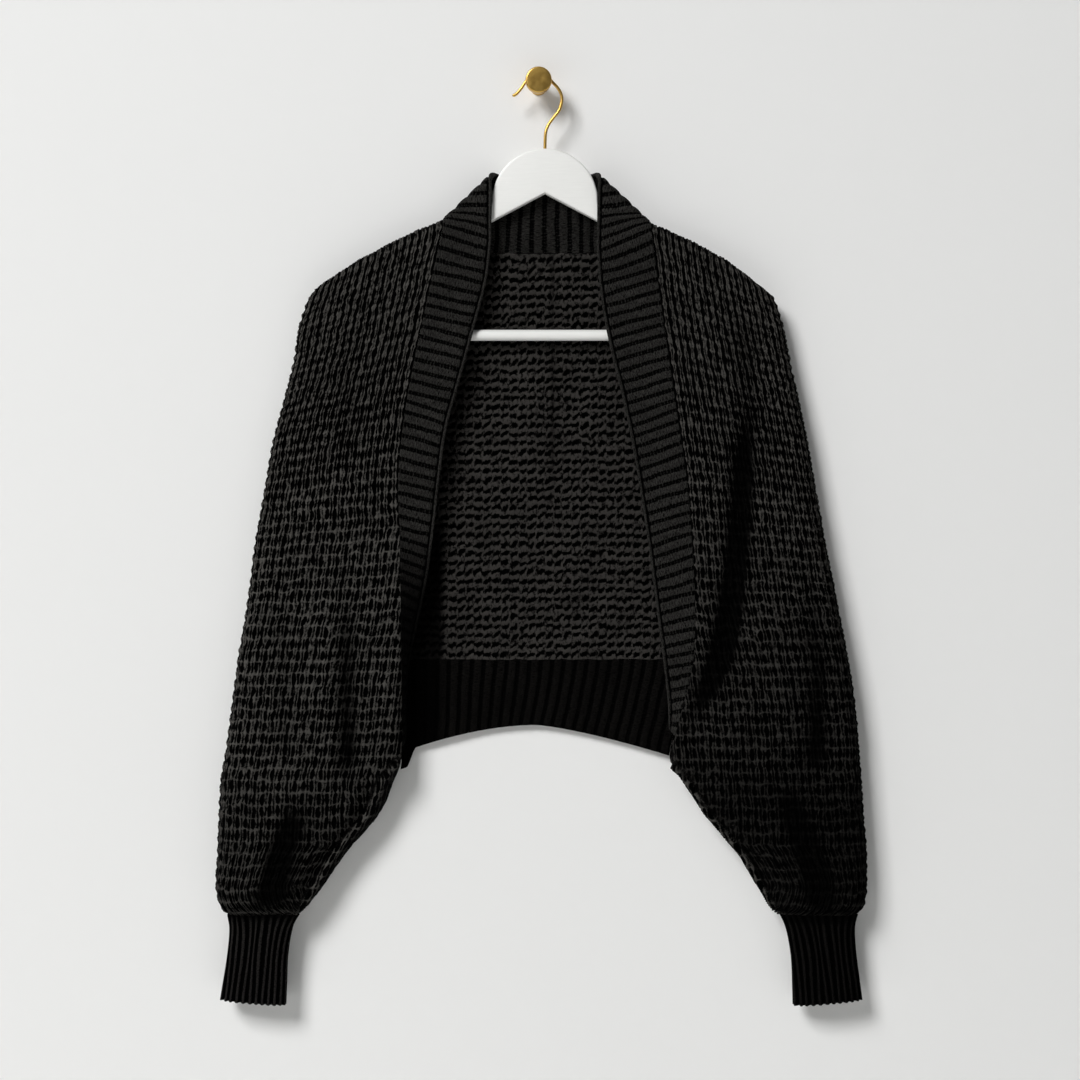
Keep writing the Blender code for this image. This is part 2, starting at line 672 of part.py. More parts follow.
def board_half_outline():
    """Half of the board's outline, from the top of its head to the notch beneath it, as distances
    from its middle and heights."""
    outline = []
    for step in range(HEAD_STEPS + 1):
        angle = QUARTER * (1 - step / HEAD_STEPS)
        outline.append((HEAD_RADIUS * math.cos(angle), HEAD_RADIUS * math.sin(angle) - HEAD_DROP))
    for distance in (ARM_START + 2.0, 125.0, ARM_TIP - 10.0):
        outline.append((distance, -ARM_START_DROP - ARM_SLOPE * (distance - ARM_START)))
    tip_top = -ARM_START_DROP - ARM_SLOPE * (ARM_TIP - ARM_START)
    inner = ARM_TIP - BAR_SOCKET_WIDTH
    low = -BAR_DROP - BAR_SOCKET_WIDTH / 2
    outline += [
        (ARM_TIP - 3.0, tip_top - 0.5),
        (ARM_TIP, tip_top - 6.0),
        (ARM_TIP, low + 5.0),
        (ARM_TIP - 2.0, low + 1.5),
        (ARM_TIP - 6.0, low),
        (inner + 5.0, low),
        (inner + 1.0, low + 2.0),
        (inner, low + 6.0),
        (inner, low + 36.0),
        (inner - 3.0, low + 46.0),
        (inner - 12.0, -UNDERSIDE_DROP - UNDERSIDE_SLOPE * (inner - 12.0)),
        (0.0, -UNDERSIDE_DROP),
    ]
    return outline


def build_hanger(white_wood, brass, collection):
    """The white hanger with its bar, and the brass hook in its head."""
    half = board_half_outline()
    outline = half + [(-distance, height) for distance, height in half[-2:0:-1]]
    board = add_curve("hanger_board", [(x, z, 0.0) for x, z in outline], white_wood, collection, True)
    board.data.dimensions = "2D"
    board.data.fill_mode = "BOTH"
    board.data.extrude = BOARD_THICKNESS / 2 * MM
    board.location = (HANGER_X * MM, MIDDLE_Y * MM, 0.0)
    board.rotation_euler = (QUARTER, 0.0, 0.0)
    weld = board.modifiers.new("Weld", "WELD")
    weld.merge_threshold = 0.00005
    bevel = board.modifiers.new("Bevel", "BEVEL")
    bevel.width = BOARD_EDGE_ROUND * MM
    bevel.segments = 2
    bevel.angle_limit = math.radians(60)

    bpy.ops.mesh.primitive_cylinder_add(
        vertices=24,
        radius=BAR_RADIUS * MM,
        depth=2 * BAR_HALF_LENGTH * MM,
        location=(HANGER_X * MM, MIDDLE_Y * MM, -BAR_DROP * MM),
        rotation=(0.0, QUARTER, 0.0),
    )
    bar = bpy.context.object
    bar.name = "hanger_bar"
    bar.data.materials.append(white_wood)
    bar.data.shade_smooth()
    bar.data.set_sharp_from_angle(angle=math.radians(50))
    for holder in bar.users_collection:
        holder.objects.unlink(bar)
    collection.objects.link(bar)

    places = np.linspace(0, len(HOOK_ROUTE) - 1, HOOK_STEPS * (len(HOOK_ROUTE) - 1) + 1)
    route = [(x, MIDDLE_Y, -drop) for x, drop in smooth_rows(HOOK_ROUTE, places)]
    hook = add_curve("hook", route, brass, collection)
    hook.data.dimensions = "3D"
    hook.data.bevel_depth = WIRE_RADIUS * MM
    hook.data.bevel_resolution = 2
    hook.data.use_fill_caps = True


def build_knob(brass, collection):
    """The round wall knob: a flange on the wall, a stem, and a flat round head."""
    back = KNOB_LENGTH - KNOB_HEAD_LENGTH
    profile = [
        (0.0, KNOB_LENGTH),
        (KNOB_RADIUS - 1.6, KNOB_LENGTH),
        (KNOB_RADIUS - 0.5, KNOB_LENGTH - 0.5),
        (KNOB_RADIUS, KNOB_LENGTH - 1.6),
        (KNOB_RADIUS, back + 1.2),
        (KNOB_RADIUS - 1.2, back),
        (STEM_RADIUS, back),
        (STEM_RADIUS, 3.5),
        (FLANGE_RADIUS, 1.6),
        (FLANGE_RADIUS, 0.0),
        (0.0, 0.0),
    ]
    mesh = bpy.data.meshes.new("wall_knob")
    vertices = [(radius * MM, 0.0, length * MM) for radius, length in profile]
    mesh.from_pydata(vertices, [(i, i + 1) for i in range(len(profile) - 1)], [])
    mesh.materials.append(brass)
    knob = bpy.data.objects.new("wall_knob", mesh)
    collection.objects.link(knob)
    knob.rotation_euler = (QUARTER, 0.0, 0.0)
    screw = knob.modifiers.new("Screw", "SCREW")
    screw.steps = 36
    screw.render_steps = 36
    screw.use_merge_vertices = True
    screw.merge_threshold = 0.00002
    screw.use_smooth_shade = True


def build():
    """The whole cardigan, its hanger and the knob."""
    for old in list(bpy.data.objects):
        bpy.data.objects.remove(old, do_unlink=True)
    collection = bpy.data.collections.new("shawl_cardigan")
    bpy.context.scene.collection.children.link(collection)
    waffle = material("black_waffle_knit", "#262524", 0.9)
    rib_knit = material("black_rib_knit", "#222120", 0.9)
    white_wood = material("white_painted_wood", "#f1f1ef", 0.45)
    brass = material("satin_brass", "#c9a04a", 0.3, 1.0)
    build_fronts(waffle, collection)
    build_backs(waffle, collection)
    build_band(rib_knit, collection)
    build_hem(rib_knit, collection)
    build_cuffs(rib_knit, collection)
    build_hanger(white_wood, brass, collection)
    build_knob(brass, collection)


build()
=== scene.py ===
"""The shawl cardigan on its hanger and wall knob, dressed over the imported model.

X runs to the right as seen from the front, Y into the wall and Z up, from the centre of the knob's
back face. Sizes are in millimetres, drops are distances below that centre, and each mesh is turned
into metres when it is made.
"""

import math

import bpy
import numpy as np
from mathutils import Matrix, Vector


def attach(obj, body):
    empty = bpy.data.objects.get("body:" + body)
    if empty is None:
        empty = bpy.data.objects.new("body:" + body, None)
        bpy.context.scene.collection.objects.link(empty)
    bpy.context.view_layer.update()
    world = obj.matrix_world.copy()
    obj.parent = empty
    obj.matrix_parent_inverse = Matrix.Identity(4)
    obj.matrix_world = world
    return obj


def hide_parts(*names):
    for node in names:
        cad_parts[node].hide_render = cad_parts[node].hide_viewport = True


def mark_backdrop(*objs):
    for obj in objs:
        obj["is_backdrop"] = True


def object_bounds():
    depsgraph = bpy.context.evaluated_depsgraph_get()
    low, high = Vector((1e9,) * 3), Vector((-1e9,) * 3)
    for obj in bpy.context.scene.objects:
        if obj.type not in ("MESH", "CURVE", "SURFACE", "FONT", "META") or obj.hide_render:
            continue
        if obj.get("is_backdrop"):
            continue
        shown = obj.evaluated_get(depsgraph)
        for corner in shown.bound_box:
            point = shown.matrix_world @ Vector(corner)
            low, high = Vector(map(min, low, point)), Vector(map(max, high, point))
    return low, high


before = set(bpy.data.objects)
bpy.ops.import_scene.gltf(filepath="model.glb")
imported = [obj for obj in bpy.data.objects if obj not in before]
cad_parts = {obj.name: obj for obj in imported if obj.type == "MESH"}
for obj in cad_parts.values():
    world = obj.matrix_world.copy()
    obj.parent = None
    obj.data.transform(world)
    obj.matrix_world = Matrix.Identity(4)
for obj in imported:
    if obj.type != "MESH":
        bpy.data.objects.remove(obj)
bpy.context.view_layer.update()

# Camera, wall, floor and light
# The photograph looks straight at the wall from about two metres, a little below the hanger. The
# wall and the floor are pale paint, and the light is a large soft one from the upper left.
CAMERA_PLACE = (0.0014, -2.13, -0.460)
CAMERA_LENS = 70.0
CAMERA_SENSOR = 36.0
ROOM_HALF_WIDTH = 4.0
WALL_Y = 0.0006
WALL_TOP_Z = 2.5
FLOOR_Z = -1.5


def placed(name, data):
    """A new object of the scene that holds this camera, lamp or mesh."""
    made = bpy.data.objects.new(name, data)
    bpy.context.scene.collection.objects.link(made)
    return made


camera_data = bpy.data.cameras.new("camera")
camera_data.lens = CAMERA_LENS
camera_data.sensor_width = CAMERA_SENSOR
camera = placed("camera", camera_data)
camera.location = CAMERA_PLACE
camera.rotation_euler = (math.pi / 2, 0.0, 0.0)
bpy.context.scene.camera = camera


def linear(hexadecimal):
    """Linear RGBA of an sRGB colour written as #rrggbb."""
    values = [int(hexadecimal[i : i + 2], 16) / 255 for i in (1, 3, 5)]
    return (*[v / 12.92 if v <= 0.04045 else ((v + 0.055) / 1.055) ** 2.4 for v in values], 1.0)


def add_node(tree, kind, inputs=(), **settings):
    """Add a shader node, set its properties, and fill its inputs, which are named or in order. Each
    gets a value, a link from a socket, or a link from the first output in use of another node."""
    node = tree.nodes.new("ShaderNode" + kind)
    for name, value in settings.items():
        setattr(node, name, value)
    for key, value in inputs.items() if isinstance(inputs, dict) else enumerate(inputs):
        if isinstance(value, bpy.types.Node):
            value = next(output for output in value.outputs if output.enabled)
        if isinstance(value, bpy.types.NodeSocket):
            tree.links.new(value, node.inputs[key])
        else:
            node.inputs[key].default_value = value
    return node


def new_material(name):
    """An empty material and its node tree."""
    made = bpy.data.materials.new(name)
    made.use_nodes = True
    made.node_tree.nodes.clear()
    return made, made.node_tree


def flat_face(name, corners, paint):
    """One flat face between four corners, in metres."""
    mesh = bpy.data.meshes.new(name)
    mesh.from_pydata(corners, [], [(0, 1, 2, 3)])
    mesh.materials.append(paint)
    return placed(name, mesh)


# Matt wall paint. Only its front shows, so that the cardigan's back can be seen past it.
wall_paint, tree = new_material("matt_wall_paint")
paint = add_node(tree, "BsdfPrincipled", {"Base Color": linear("#ededec"), "Roughness": 0.9})
clear = add_node(tree, "BsdfTransparent")
from_behind = add_node(tree, "NewGeometry").outputs["Backfacing"]
shown = add_node(tree, "MixShader", [from_behind, paint, clear])
add_node(tree, "OutputMaterial", {"Surface": shown})

# Pale floor paint, a metre and a half below the knob
floor_paint, tree = new_material("pale_floor_paint")
paint = add_node(tree, "BsdfPrincipled", {"Base Color": linear("#e6e6e4"), "Roughness": 0.8})
add_node(tree, "OutputMaterial", {"Surface": paint})

far = ROOM_HALF_WIDTH
wall = flat_face("wall", [(-far, WALL_Y, FLOOR_Z), (far, WALL_Y, FLOOR_Z),
                          (far, WALL_Y, WALL_TOP_Z), (-far, WALL_Y, WALL_TOP_Z)], wall_paint)
wall.visible_shadow = False
floor = flat_face("floor", [(-far, -far, FLOOR_Z), (far, -far, FLOOR_Z),
                            (far, far, FLOOR_Z), (-far, far, FLOOR_Z)], floor_paint)
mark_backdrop(wall, floor)

# Name, place, point aimed at, side in metres, power in watts
LIGHTS = [
    ("key", (-3.6, -5.4, 3.7), (0.0, 0.0, -0.4), 2.6, 502.0),
    ("fill", (1.6, -2.6, 0.1), (0.0, 0.0, -0.5), 2.0, 2.0),
    ("behind", (-1.3, 2.2, 1.0), (0.0, 0.0, -0.4), 1.6, 50.0),
]
for name, place, target, side, power in LIGHTS:
    lamp_data = bpy.data.lights.new(name, "AREA")
    lamp_data.shape = "SQUARE"
    lamp_data.size = side
    lamp_data.energy = power
    lamp = placed(name, lamp_data)
    lamp.location = place
    x, y, z = np.array(place) - np.array(target)
    lamp.rotation_euler = (math.atan2(math.hypot(x, y), z), 0.0, math.atan2(x, -y))
world = bpy.data.worlds.new("studio")
world.use_nodes = True
sky = world.node_tree.nodes["Background"].inputs
sky["Color"].default_value = linear("#f4f6f8")
sky["Strength"].default_value = 0.07
bpy.context.scene.world = world
bpy.context.scene.view_settings.view_transform = "Standard"

# Wall knob and hook
# A turned brass knob screwed to the wall, and a bent brass wire that hangs over its stem and
# screws into the hanger's head. Both are brushed and lacquered to a satin finish.
MM = 0.001
MIDDLE_Y = -22.0
KNOB_RADIUS = 13.1
KNOB_LENGTH = 33.8
KNOB_HEAD_BACK = 24.2
KNOB_FACE_ROUND = 1.6
KNOB_BACK_ROUND = 1.2
STEM_RADIUS = 5.5
FLANGE_RADIUS = 9.0
WIRE_RADIUS = 1.6
HANGER_X = 6.4
HEAD_TOP_DROP = 67.8
ROUTE_COLUMNS = ("x", "drop")
HOOK_ROUTE = [
    (-26.3, 14.4), (-22.1, 12.0), (-17.2, 6.3), (-14.0, 1.4), (-8.5, -5.0), (0.0, -7.4),
    (8.4, -5.2), (14.6, 1.2), (19.2, 6.2), (22.6, 12.5), (23.2, 19.5), (20.6, 28.6),
    (15.1, 35.8), (10.1, 42.8), (7.3, 50.0), (6.6, 58.0), (HANGER_X, HEAD_TOP_DROP - 0.3),
]


def smooth_rows(table, at):
    """Catmull-Rom curve through a table's rows: `at` counts the rows from 0."""
    rows = np.array(table, float)
    at = np.asarray(at, float)
    low = np.clip(np.floor(at).astype(int), 0, len(rows) - 2)
    part = (at - low)[..., None]
    before, here = rows[np.maximum(low - 1, 0)], rows[low]
    after, beyond = rows[low + 1], rows[np.minimum(low + 2, len(rows) - 1)]
    bend = (2 * before - 5 * here + 4 * after - beyond) * part**2
    twist = (3 * here - before - 3 * after + beyond) * part**3
    return 0.5 * (2 * here + (after - before) * part + bend + twist)


def mesh_piece(name, points, triangles, materials, face_slots=None, corner_uv=None, shade=None):
    """A piece from points in millimetres and triangles, turned so that its faces point out: the
    sum of the signed volumes between each triangle and the origin is made positive. `shade` is
    the painted shade at each point, from 0 to 1, which darkens the yarn's colour."""
    used, inverse = np.unique(triangles, return_inverse=True)
    triangles = inverse.reshape(-1, 3)
    points = points[used] * MM
    a, b, c = (points[triangles[:, k]] for k in range(3))
    if np.einsum("ij,ij->i", a, np.cross(b, c)).sum() < 0:
        triangles = triangles[:, ::-1]
        corner_uv = None if corner_uv is None else corner_uv[:, ::-1]
    mesh = bpy.data.meshes.new(name)
    mesh.vertices.add(len(points))
    mesh.vertices.foreach_set("co", points.ravel())
    mesh.loops.add(3 * len(triangles))
    mesh.loops.foreach_set("vertex_index", np.ascontiguousarray(triangles).ravel())
    mesh.polygons.add(len(triangles))
    mesh.polygons.foreach_set("loop_start", np.arange(0, 3 * len(triangles), 3))
    for made in materials:
        mesh.materials.append(made)
    if face_slots is not None:
        mesh.polygons.foreach_set("material_index", face_slots)
    mesh.update(calc_edges=True)
    if corner_uv is not None:
        layer = mesh.uv_layers.new(name="knit")
        layer.data.foreach_set("uv", np.ascontiguousarray(corner_uv).ravel())
    if shade is not None:
        layer = mesh.attributes.new("shade", "FLOAT", "POINT")
        layer.data.foreach_set("value", np.ascontiguousarray(shade[used]))
    mesh.shade_smooth()
    mesh.validate()
    made = placed(name, mesh)
    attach(made, "root")
    return made


def cut_cells(a, b, c, d):
    """Each cell a, b, c, d of a grid, cut into the triangles a, b, c and a, c, d."""
    return np.concatenate([np.stack(corners, -1).reshape(-1, 3) for corners in ([a, b, c], [a, c, d])])


def rings_to_triangles(rings, points_each, first_cap, last_cap):
    """Triangles that join each ring of points to the next, with a fan at each end to a cap point."""
    ring = np.arange(rings - 1)[:, None] * points_each
    here = np.arange(points_each)[None, :]
    ahead = (here + 1) % points_each
    sides = cut_cells(ring + here, ring + ahead, ring + points_each + ahead, ring + points_each + here)
    last = (rings - 1) * points_each
    start = np.stack([np.full(points_each, first_cap), ahead[0], here[0]], -1)
    end = np.stack([np.full(points_each, last_cap), last + here[0], last + ahead[0]], -1)
    return np.concatenate([sides, start, end])


def turned_piece(name, profile, sides, material):
    """A profile of (radius, length) turned about the Y axis: x = r cos t, z = r sin t, y = -length.
    Its first and last points lie on the axis."""
    radius, length = np.array(profile, float).T
    angle = np.linspace(0, 2 * math.pi, sides, endpoint=False)
    ring = np.stack(np.broadcast_arrays(radius[1:-1, None] * np.cos(angle), -length[1:-1, None],
                                        radius[1:-1, None] * np.sin(angle)), -1).reshape(-1, 3)
    points = np.vstack([ring, [0.0, -length[0], 0.0], [0.0, -length[-1], 0.0]])
    triangles = rings_to_triangles(len(radius) - 2, sides, len(ring), len(ring) + 1)
    return mesh_piece(name, points, triangles, [material])


def tube_piece(name, route, radii, sides, material):
    """A round section carried along a route in a plane of equal y: place + r (cos t side + sin t
    depth), with the side at right angles to the route and the depth along y."""
    ahead = np.gradient(route, axis=0)
    ahead /= np.linalg.norm(ahead, axis=1)[:, None]
    depth = np.array([0.0, 1.0, 0.0])
    side = np.cross(ahead, depth)
    angle = np.linspace(0, 2 * math.pi, sides, endpoint=False)[None, :, None]
    around = np.cos(angle) * side[:, None] + np.sin(angle) * depth
    ring = route[:, None] + radii[:, None, None] * around
    points = np.vstack([ring.reshape(-1, 3), route[0], route[-1]])
    triangles = rings_to_triangles(len(route), sides, sides * len(route), sides * len(route) + 1)
    return mesh_piece(name, points, triangles, [material])


# Satin lacquered brass: fine turning and drawing marks 0.8 mm apart, and a slightly uneven polish
brass, tree = new_material("satin_lacquered_brass")
place = add_node(tree, "TexCoord").outputs["Object"]
marks = add_node(tree, "Mapping", {"Vector": place, "Scale": (2500.0, 160.0, 2500.0)})
grain = add_node(tree, "TexNoise", {"Vector": marks, "Scale": 0.5, "Detail": 2.0})
cloud = add_node(tree, "TexNoise", {"Vector": place, "Scale": 220.0, "Detail": 3.0})
tone = add_node(tree, "Mix", {"Factor": cloud, "A": linear("#c2984a"), "B": linear("#d9b566")},
                data_type="RGBA")
gloss = add_node(tree, "MapRange", {"Value": cloud, "To Min": 0.26, "To Max": 0.40})
relief = add_node(tree, "Bump", {"Height": grain, "Strength": 0.25, "Distance": 0.00005})
shader = add_node(tree, "BsdfPrincipled", {
    "Base Color": tone, "Metallic": 1.0, "Roughness": gloss, "Normal": relief})
add_node(tree, "OutputMaterial", {"Surface": shader})

# The knob's face, its rounded rim, the back of its head, the stem's fillets, the stem and the flange
corner = np.linspace(0, math.pi / 2, 7)
knob_profile = [(0.0, KNOB_LENGTH), (6.0, KNOB_LENGTH)]
knob_profile += [(KNOB_RADIUS - KNOB_FACE_ROUND + KNOB_FACE_ROUND * math.sin(t),
                  KNOB_LENGTH - KNOB_FACE_ROUND + KNOB_FACE_ROUND * math.cos(t)) for t in corner]
knob_profile += [(KNOB_RADIUS - KNOB_BACK_ROUND + KNOB_BACK_ROUND * math.cos(t),
                  KNOB_HEAD_BACK + KNOB_BACK_ROUND - KNOB_BACK_ROUND * math.sin(t)) for t in corner]
knob_profile += [(STEM_RADIUS + 2.5, KNOB_HEAD_BACK), (STEM_RADIUS + 0.8, KNOB_HEAD_BACK - 0.2)]
knob_profile += [(STEM_RADIUS, KNOB_HEAD_BACK - 1.0), (STEM_RADIUS, 4.5), (STEM_RADIUS + 0.6, 3.4)]
knob_profile += [(FLANGE_RADIUS - 0.6, 1.9), (FLANGE_RADIUS, 1.3), (FLANGE_RADIUS, 0.0), (0.0, 0.0)]
knob = turned_piece("knob_turned", knob_profile, 96, brass)
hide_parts("wall_knob")

places = np.linspace(0, len(HOOK_ROUTE) - 1, 10 * (len(HOOK_ROUTE) - 1) + 1)
hook_x, hook_drop = smooth_rows(HOOK_ROUTE, places).T
hook_route = np.stack([hook_x, np.full_like(hook_x, MIDDLE_Y), -hook_drop], -1)
tip = np.clip(np.linalg.norm(hook_route - hook_route[0], axis=1) / WIRE_RADIUS, 0.0, 1.0)
hook_radii = WIRE_RADIUS * np.maximum(np.sqrt(1 - (1 - tip) ** 2), 0.35)
hook = tube_piece("hook_wire", hook_route, hook_radii, 20, brass)
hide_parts("hook")

# Hanger
# A flat shaped board with a round head and sloping arms, and a round trouser bar between its
# ends, both sprayed with white satin paint over close-grained wood.
BOARD_HALF_THICKNESS = 6.0
BOARD_EDGE_ROUND = 2.5
HEAD_RADIUS = 53.2
HEAD_DROP = 121.0
ARM_SLOPE = 0.518
ARM_START = 53.0
ARM_START_DROP = 123.8
UNDERSIDE_DROP = 112.5
UNDERSIDE_SLOPE = 0.53
ARM_TIP = 207.0
BAR_RADIUS = 5.5
BAR_DROP = 254.5
BAR_HALF_LENGTH = 187.7
BAR_SOCKET_WIDTH = 19.0
BAR_END_ROUND = 0.5

# White satin paint: a faint long grain 1.7 mm apart shows through it, with a soft gloss
white_paint, tree = new_material("white_satin_painted_wood")
place = add_node(tree, "TexCoord").outputs["Object"]
along = add_node(tree, "Mapping", {"Vector": place, "Scale": (60.0, 600.0, 600.0)})
grain = add_node(tree, "TexNoise", {"Vector": along, "Scale": 1.0, "Detail": 4.0})
tone = add_node(tree, "Mix", {"Factor": grain, "A": linear("#ebebe8"), "B": linear("#f3f3f0")},
                data_type="RGBA")
gloss = add_node(tree, "MapRange", {"Value": grain, "To Min": 0.36, "To Max": 0.5})
relief = add_node(tree, "Bump", {"Height": grain, "Strength": 0.2, "Distance": 0.00008})
shader = add_node(tree, "BsdfPrincipled", {
    "Base Color": tone, "Roughness": gloss, "IOR": 1.5, "Normal": relief})
add_node(tree, "OutputMaterial", {"Surface": shader})

# Half the board's outline: the round head, the straight arm, its end with rounded corners, the
# block that the bar ends in, and the straight underside
angle = np.linspace(math.pi / 2, 0.0, 49)
half = [(HEAD_RADIUS * math.cos(t), HEAD_RADIUS * math.sin(t) - HEAD_DROP) for t in angle]
half += [(d, -ARM_START_DROP - ARM_SLOPE * (d - ARM_START))
         for d in np.linspace(ARM_START + 2.0, ARM_TIP - 10.0, 12)]
tip_top = -ARM_START_DROP - ARM_SLOPE * (ARM_TIP - ARM_START)
socket_in = ARM_TIP - BAR_SOCKET_WIDTH
low = -BAR_DROP - BAR_SOCKET_WIDTH / 2
half += [(ARM_TIP - 3.0, tip_top - 0.5), (ARM_TIP, tip_top - 6.0)]
half += [(ARM_TIP, low + 5.0), (ARM_TIP - 2.0, low + 1.5), (ARM_TIP - 6.0, low)]
half += [(socket_in + 5.0, low), (socket_in + 1.0, low + 2.0), (socket_in, low + 6.0)]
half += [(socket_in, low + 36.0), (socket_in - 3.0, low + 46.0)]
half += [(socket_in - 12.0, -UNDERSIDE_DROP - UNDERSIDE_SLOPE * (socket_in - 12.0))]
half += [(0.0, -UNDERSIDE_DROP)]
outline = np.array(half + [(-x, z) for x, z in half[-2:0:-1]])
before = outline - np.roll(outline, 1, axis=0)
after = np.roll(outline, -1, axis=0) - outline
before /= np.linalg.norm(before, axis=1)[:, None]
after /= np.linalg.norm(after, axis=1)[:, None]
inward = np.stack([before[:, 1] + after[:, 1], -before[:, 0] - after[:, 0]], -1)
inward /= (inward**2).sum(1)[:, None] / 2
turn = np.linspace(0, math.pi / 2, 6)
inset = np.concatenate([1 - np.sin(turn), (1 - np.sin(turn))[::-1]]) * BOARD_EDGE_ROUND
depth = BOARD_HALF_THICKNESS - BOARD_EDGE_ROUND * (1 - np.cos(turn))
depth = MIDDLE_Y + np.concatenate([-depth, depth[::-1]])
ring = outline[None] + inward[None] * inset[:, None, None]
board_points = np.stack(np.broadcast_arrays(HANGER_X + ring[..., 0], depth[:, None], ring[..., 1]), -1)
count = len(outline)
flat_ring = bpy.data.meshes.new("board_face")
flat_ring.from_pydata([(x, 0.0, z) for x, z in ring[0]], [], [tuple(range(count))])
flat_ring.calc_loop_triangles()
face = np.zeros(3 * len(flat_ring.loop_triangles), int)
flat_ring.loop_triangles.foreach_get("vertices", face)
face = face.reshape(-1, 3)
bpy.data.meshes.remove(flat_ring)
sides = rings_to_triangles(len(inset), count, 0, 0)[: -2 * count]
back_face = face[:, ::-1] + (len(inset) - 1) * count
a, b, c = (ring[0][face[:, k]] for k in range(3))
if np.cross(b - a, c - a).sum() < 0:
    face, back_face = face[:, ::-1], back_face[:, ::-1]
board = mesh_piece("hanger_board_painted", board_points.reshape(-1, 3),
                   np.concatenate([sides, face, back_face]), [white_paint])
board.data.set_sharp_from_angle(angle=math.radians(35))
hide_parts("hanger_board")

bar_x = np.linspace(-BAR_HALF_LENGTH + BAR_END_ROUND, BAR_HALF_LENGTH - BAR_END_ROUND, 24)
bar_x = HANGER_X + np.concatenate([[-BAR_HALF_LENGTH], bar_x, [BAR_HALF_LENGTH]])
bar_route = np.stack([bar_x, np.full_like(bar_x, MIDDLE_Y), np.full_like(bar_x, -BAR_DROP)], -1)
bar_radii = np.full(len(bar_x), BAR_RADIUS)
bar_radii[[0, -1]] = BAR_RADIUS - BAR_END_ROUND
bar = tube_piece("trouser_bar", bar_route, bar_radii, 48, white_paint)
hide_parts("hanger_bar")

# Back panels
# Two halves of chunky waffle knit, each with the back of a sleeve, joined down the middle. Wales
# stand 7.6 mm apart and courses 12 mm. The reverse, which shows through the open front, has
# cross ridges 9.2 mm apart with slanting holes between them.
CLOTH = 4.0
RIDGE_RADIUS = 8.5
UNDERARM_RADIUS = 8.0
RIDGE_BULGE = 4.0
CORNER_CUT = {"left": 6.0, "right": 12.0}
NECK_SEAM_DROP = 171.4
NECK_SEAM_LEVEL_SHARE = 0.5
NECK_DIP_ROWS = 3
OUTLINE_COLUMNS = ("in_x", "in_drop", "out_x", "out_drop")
OUTLINE = {
    "left": [
        (-96, 147, -232, 217), (-105.4, 190, -240.6, 248), (-116, 240, -246.5, 284),
        (-126.5, 290, -256, 322), (-135, 340, -266.5, 362), (-140.6, 400, -275.5, 414),
        (-138.5, 460, -285, 469), (-137.5, 520, -292.3, 525), (-137, 580, -302, 583),
        (-136.5, 635, -309, 636), (-137, 674, -314, 674), (-144, 699, -318.6, 699),
        (-160.5, 735, -320.4, 735), (-194, 775, -322.4, 775), (-217, 808, -323.4, 810),
        (-231, 826, -318.8, 828), (-240, 834.7, -311, 834.7),
    ],
    "right": [
        (113, 150.5, 238.5, 216.5), (118.8, 195, 246, 249), (125.5, 243, 253, 284),
        (132.7, 292, 261.5, 322), (140, 342, 269.7, 362), (148.4, 400, 279, 414),
        (153.5, 460, 288.8, 469), (156.2, 520, 300, 525), (154.5, 580, 311, 583),
        (143, 630, 318, 632), (132.5, 678, 321.9, 678), (143.5, 699, 323.4, 699),
        (167, 735, 326, 735), (200.5, 775, 328.8, 775), (221.5, 808, 328.8, 810),
        (233, 826, 325.6, 828), (243, 834.7, 319, 834.7),
    ],
}
DEPTH_COLUMNS = ("front_in", "front_mid", "front_out", "back", "front_turn", "back_turn")
DEPTHS = [
    (10.4, 10.8, 10.4, 10.4, 1, 1), (10.8, 12, 11, 12, 1, 1), (11, 13.5, 12, 14, 1, 1),
    (11, 15, 13, 15.5, 1, 1), (11.5, 16.5, 14, 16.5, 1, 1), (12, 18, 15, 17, 1, 1),
    (13.5, 19.5, 16, 17, 1, 1), (15, 21, 17, 17, 0.85, 1), (16, 23, 18, 17, 0.6, 1),
    (16.5, 25, 18, 17, 0.45, 1), (16, 26, 18, 17, 0.35, 1), (14, 27, 18, 17, 0, 0),
    (13, 28, 18, 17, 0, 0), (13, 28, 18, 17, 0, 0), (13, 26, 18, 17, 0, 0),
    (13, 19, 16, 15, 0, 0), (13, 14, 13, 13, 0, 0),
]
LAST_ROW = 16
HEM_ROW = 8
COURSE = 12.0
ROWS_PER_COURSE = 6
WALE = 7.6
COLUMNS_PER_WALE = 4
FRONT_WALES = 19
FRONT_WALE_LIMITS = (6.6, 8.0)
WAFFLE_DEPTH = 2.3
WAFFLE_MEAN = 0.62
OVERARM_SCALLOP = 0.9
REVERSE_DEPTH = 1.5
REVERSE_RIDGES = 1.3
REVERSE_HOLES = 0.85
REVERSE_SLANT = 0.35
STITCH_WANDER = (0.55, 0.8)
SWELL = {-1: 1.2, 1: 0.72}
BAND_END_ROW = 10.3
UNDERARM_STRIP = {"left": 21.0, "right": 12.0}
UNDERARM_ROLL = 10.0
ROLL_START_ROW = 10.5
STRIP_START_ROW = 9.9
STRIP_NARROW_ROW = 12.5
ROPE_INSIDE_STRIP = 5.0
ROPE_TO_HOLLOW = 6.0
ROPE_HEIGHT = 3.2
HOLLOW_DEPTH = 2.4
STROKE_SPACING = {"along": 36.0, "inwards": 8.0}
STROKE_HEIGHT = 0.4

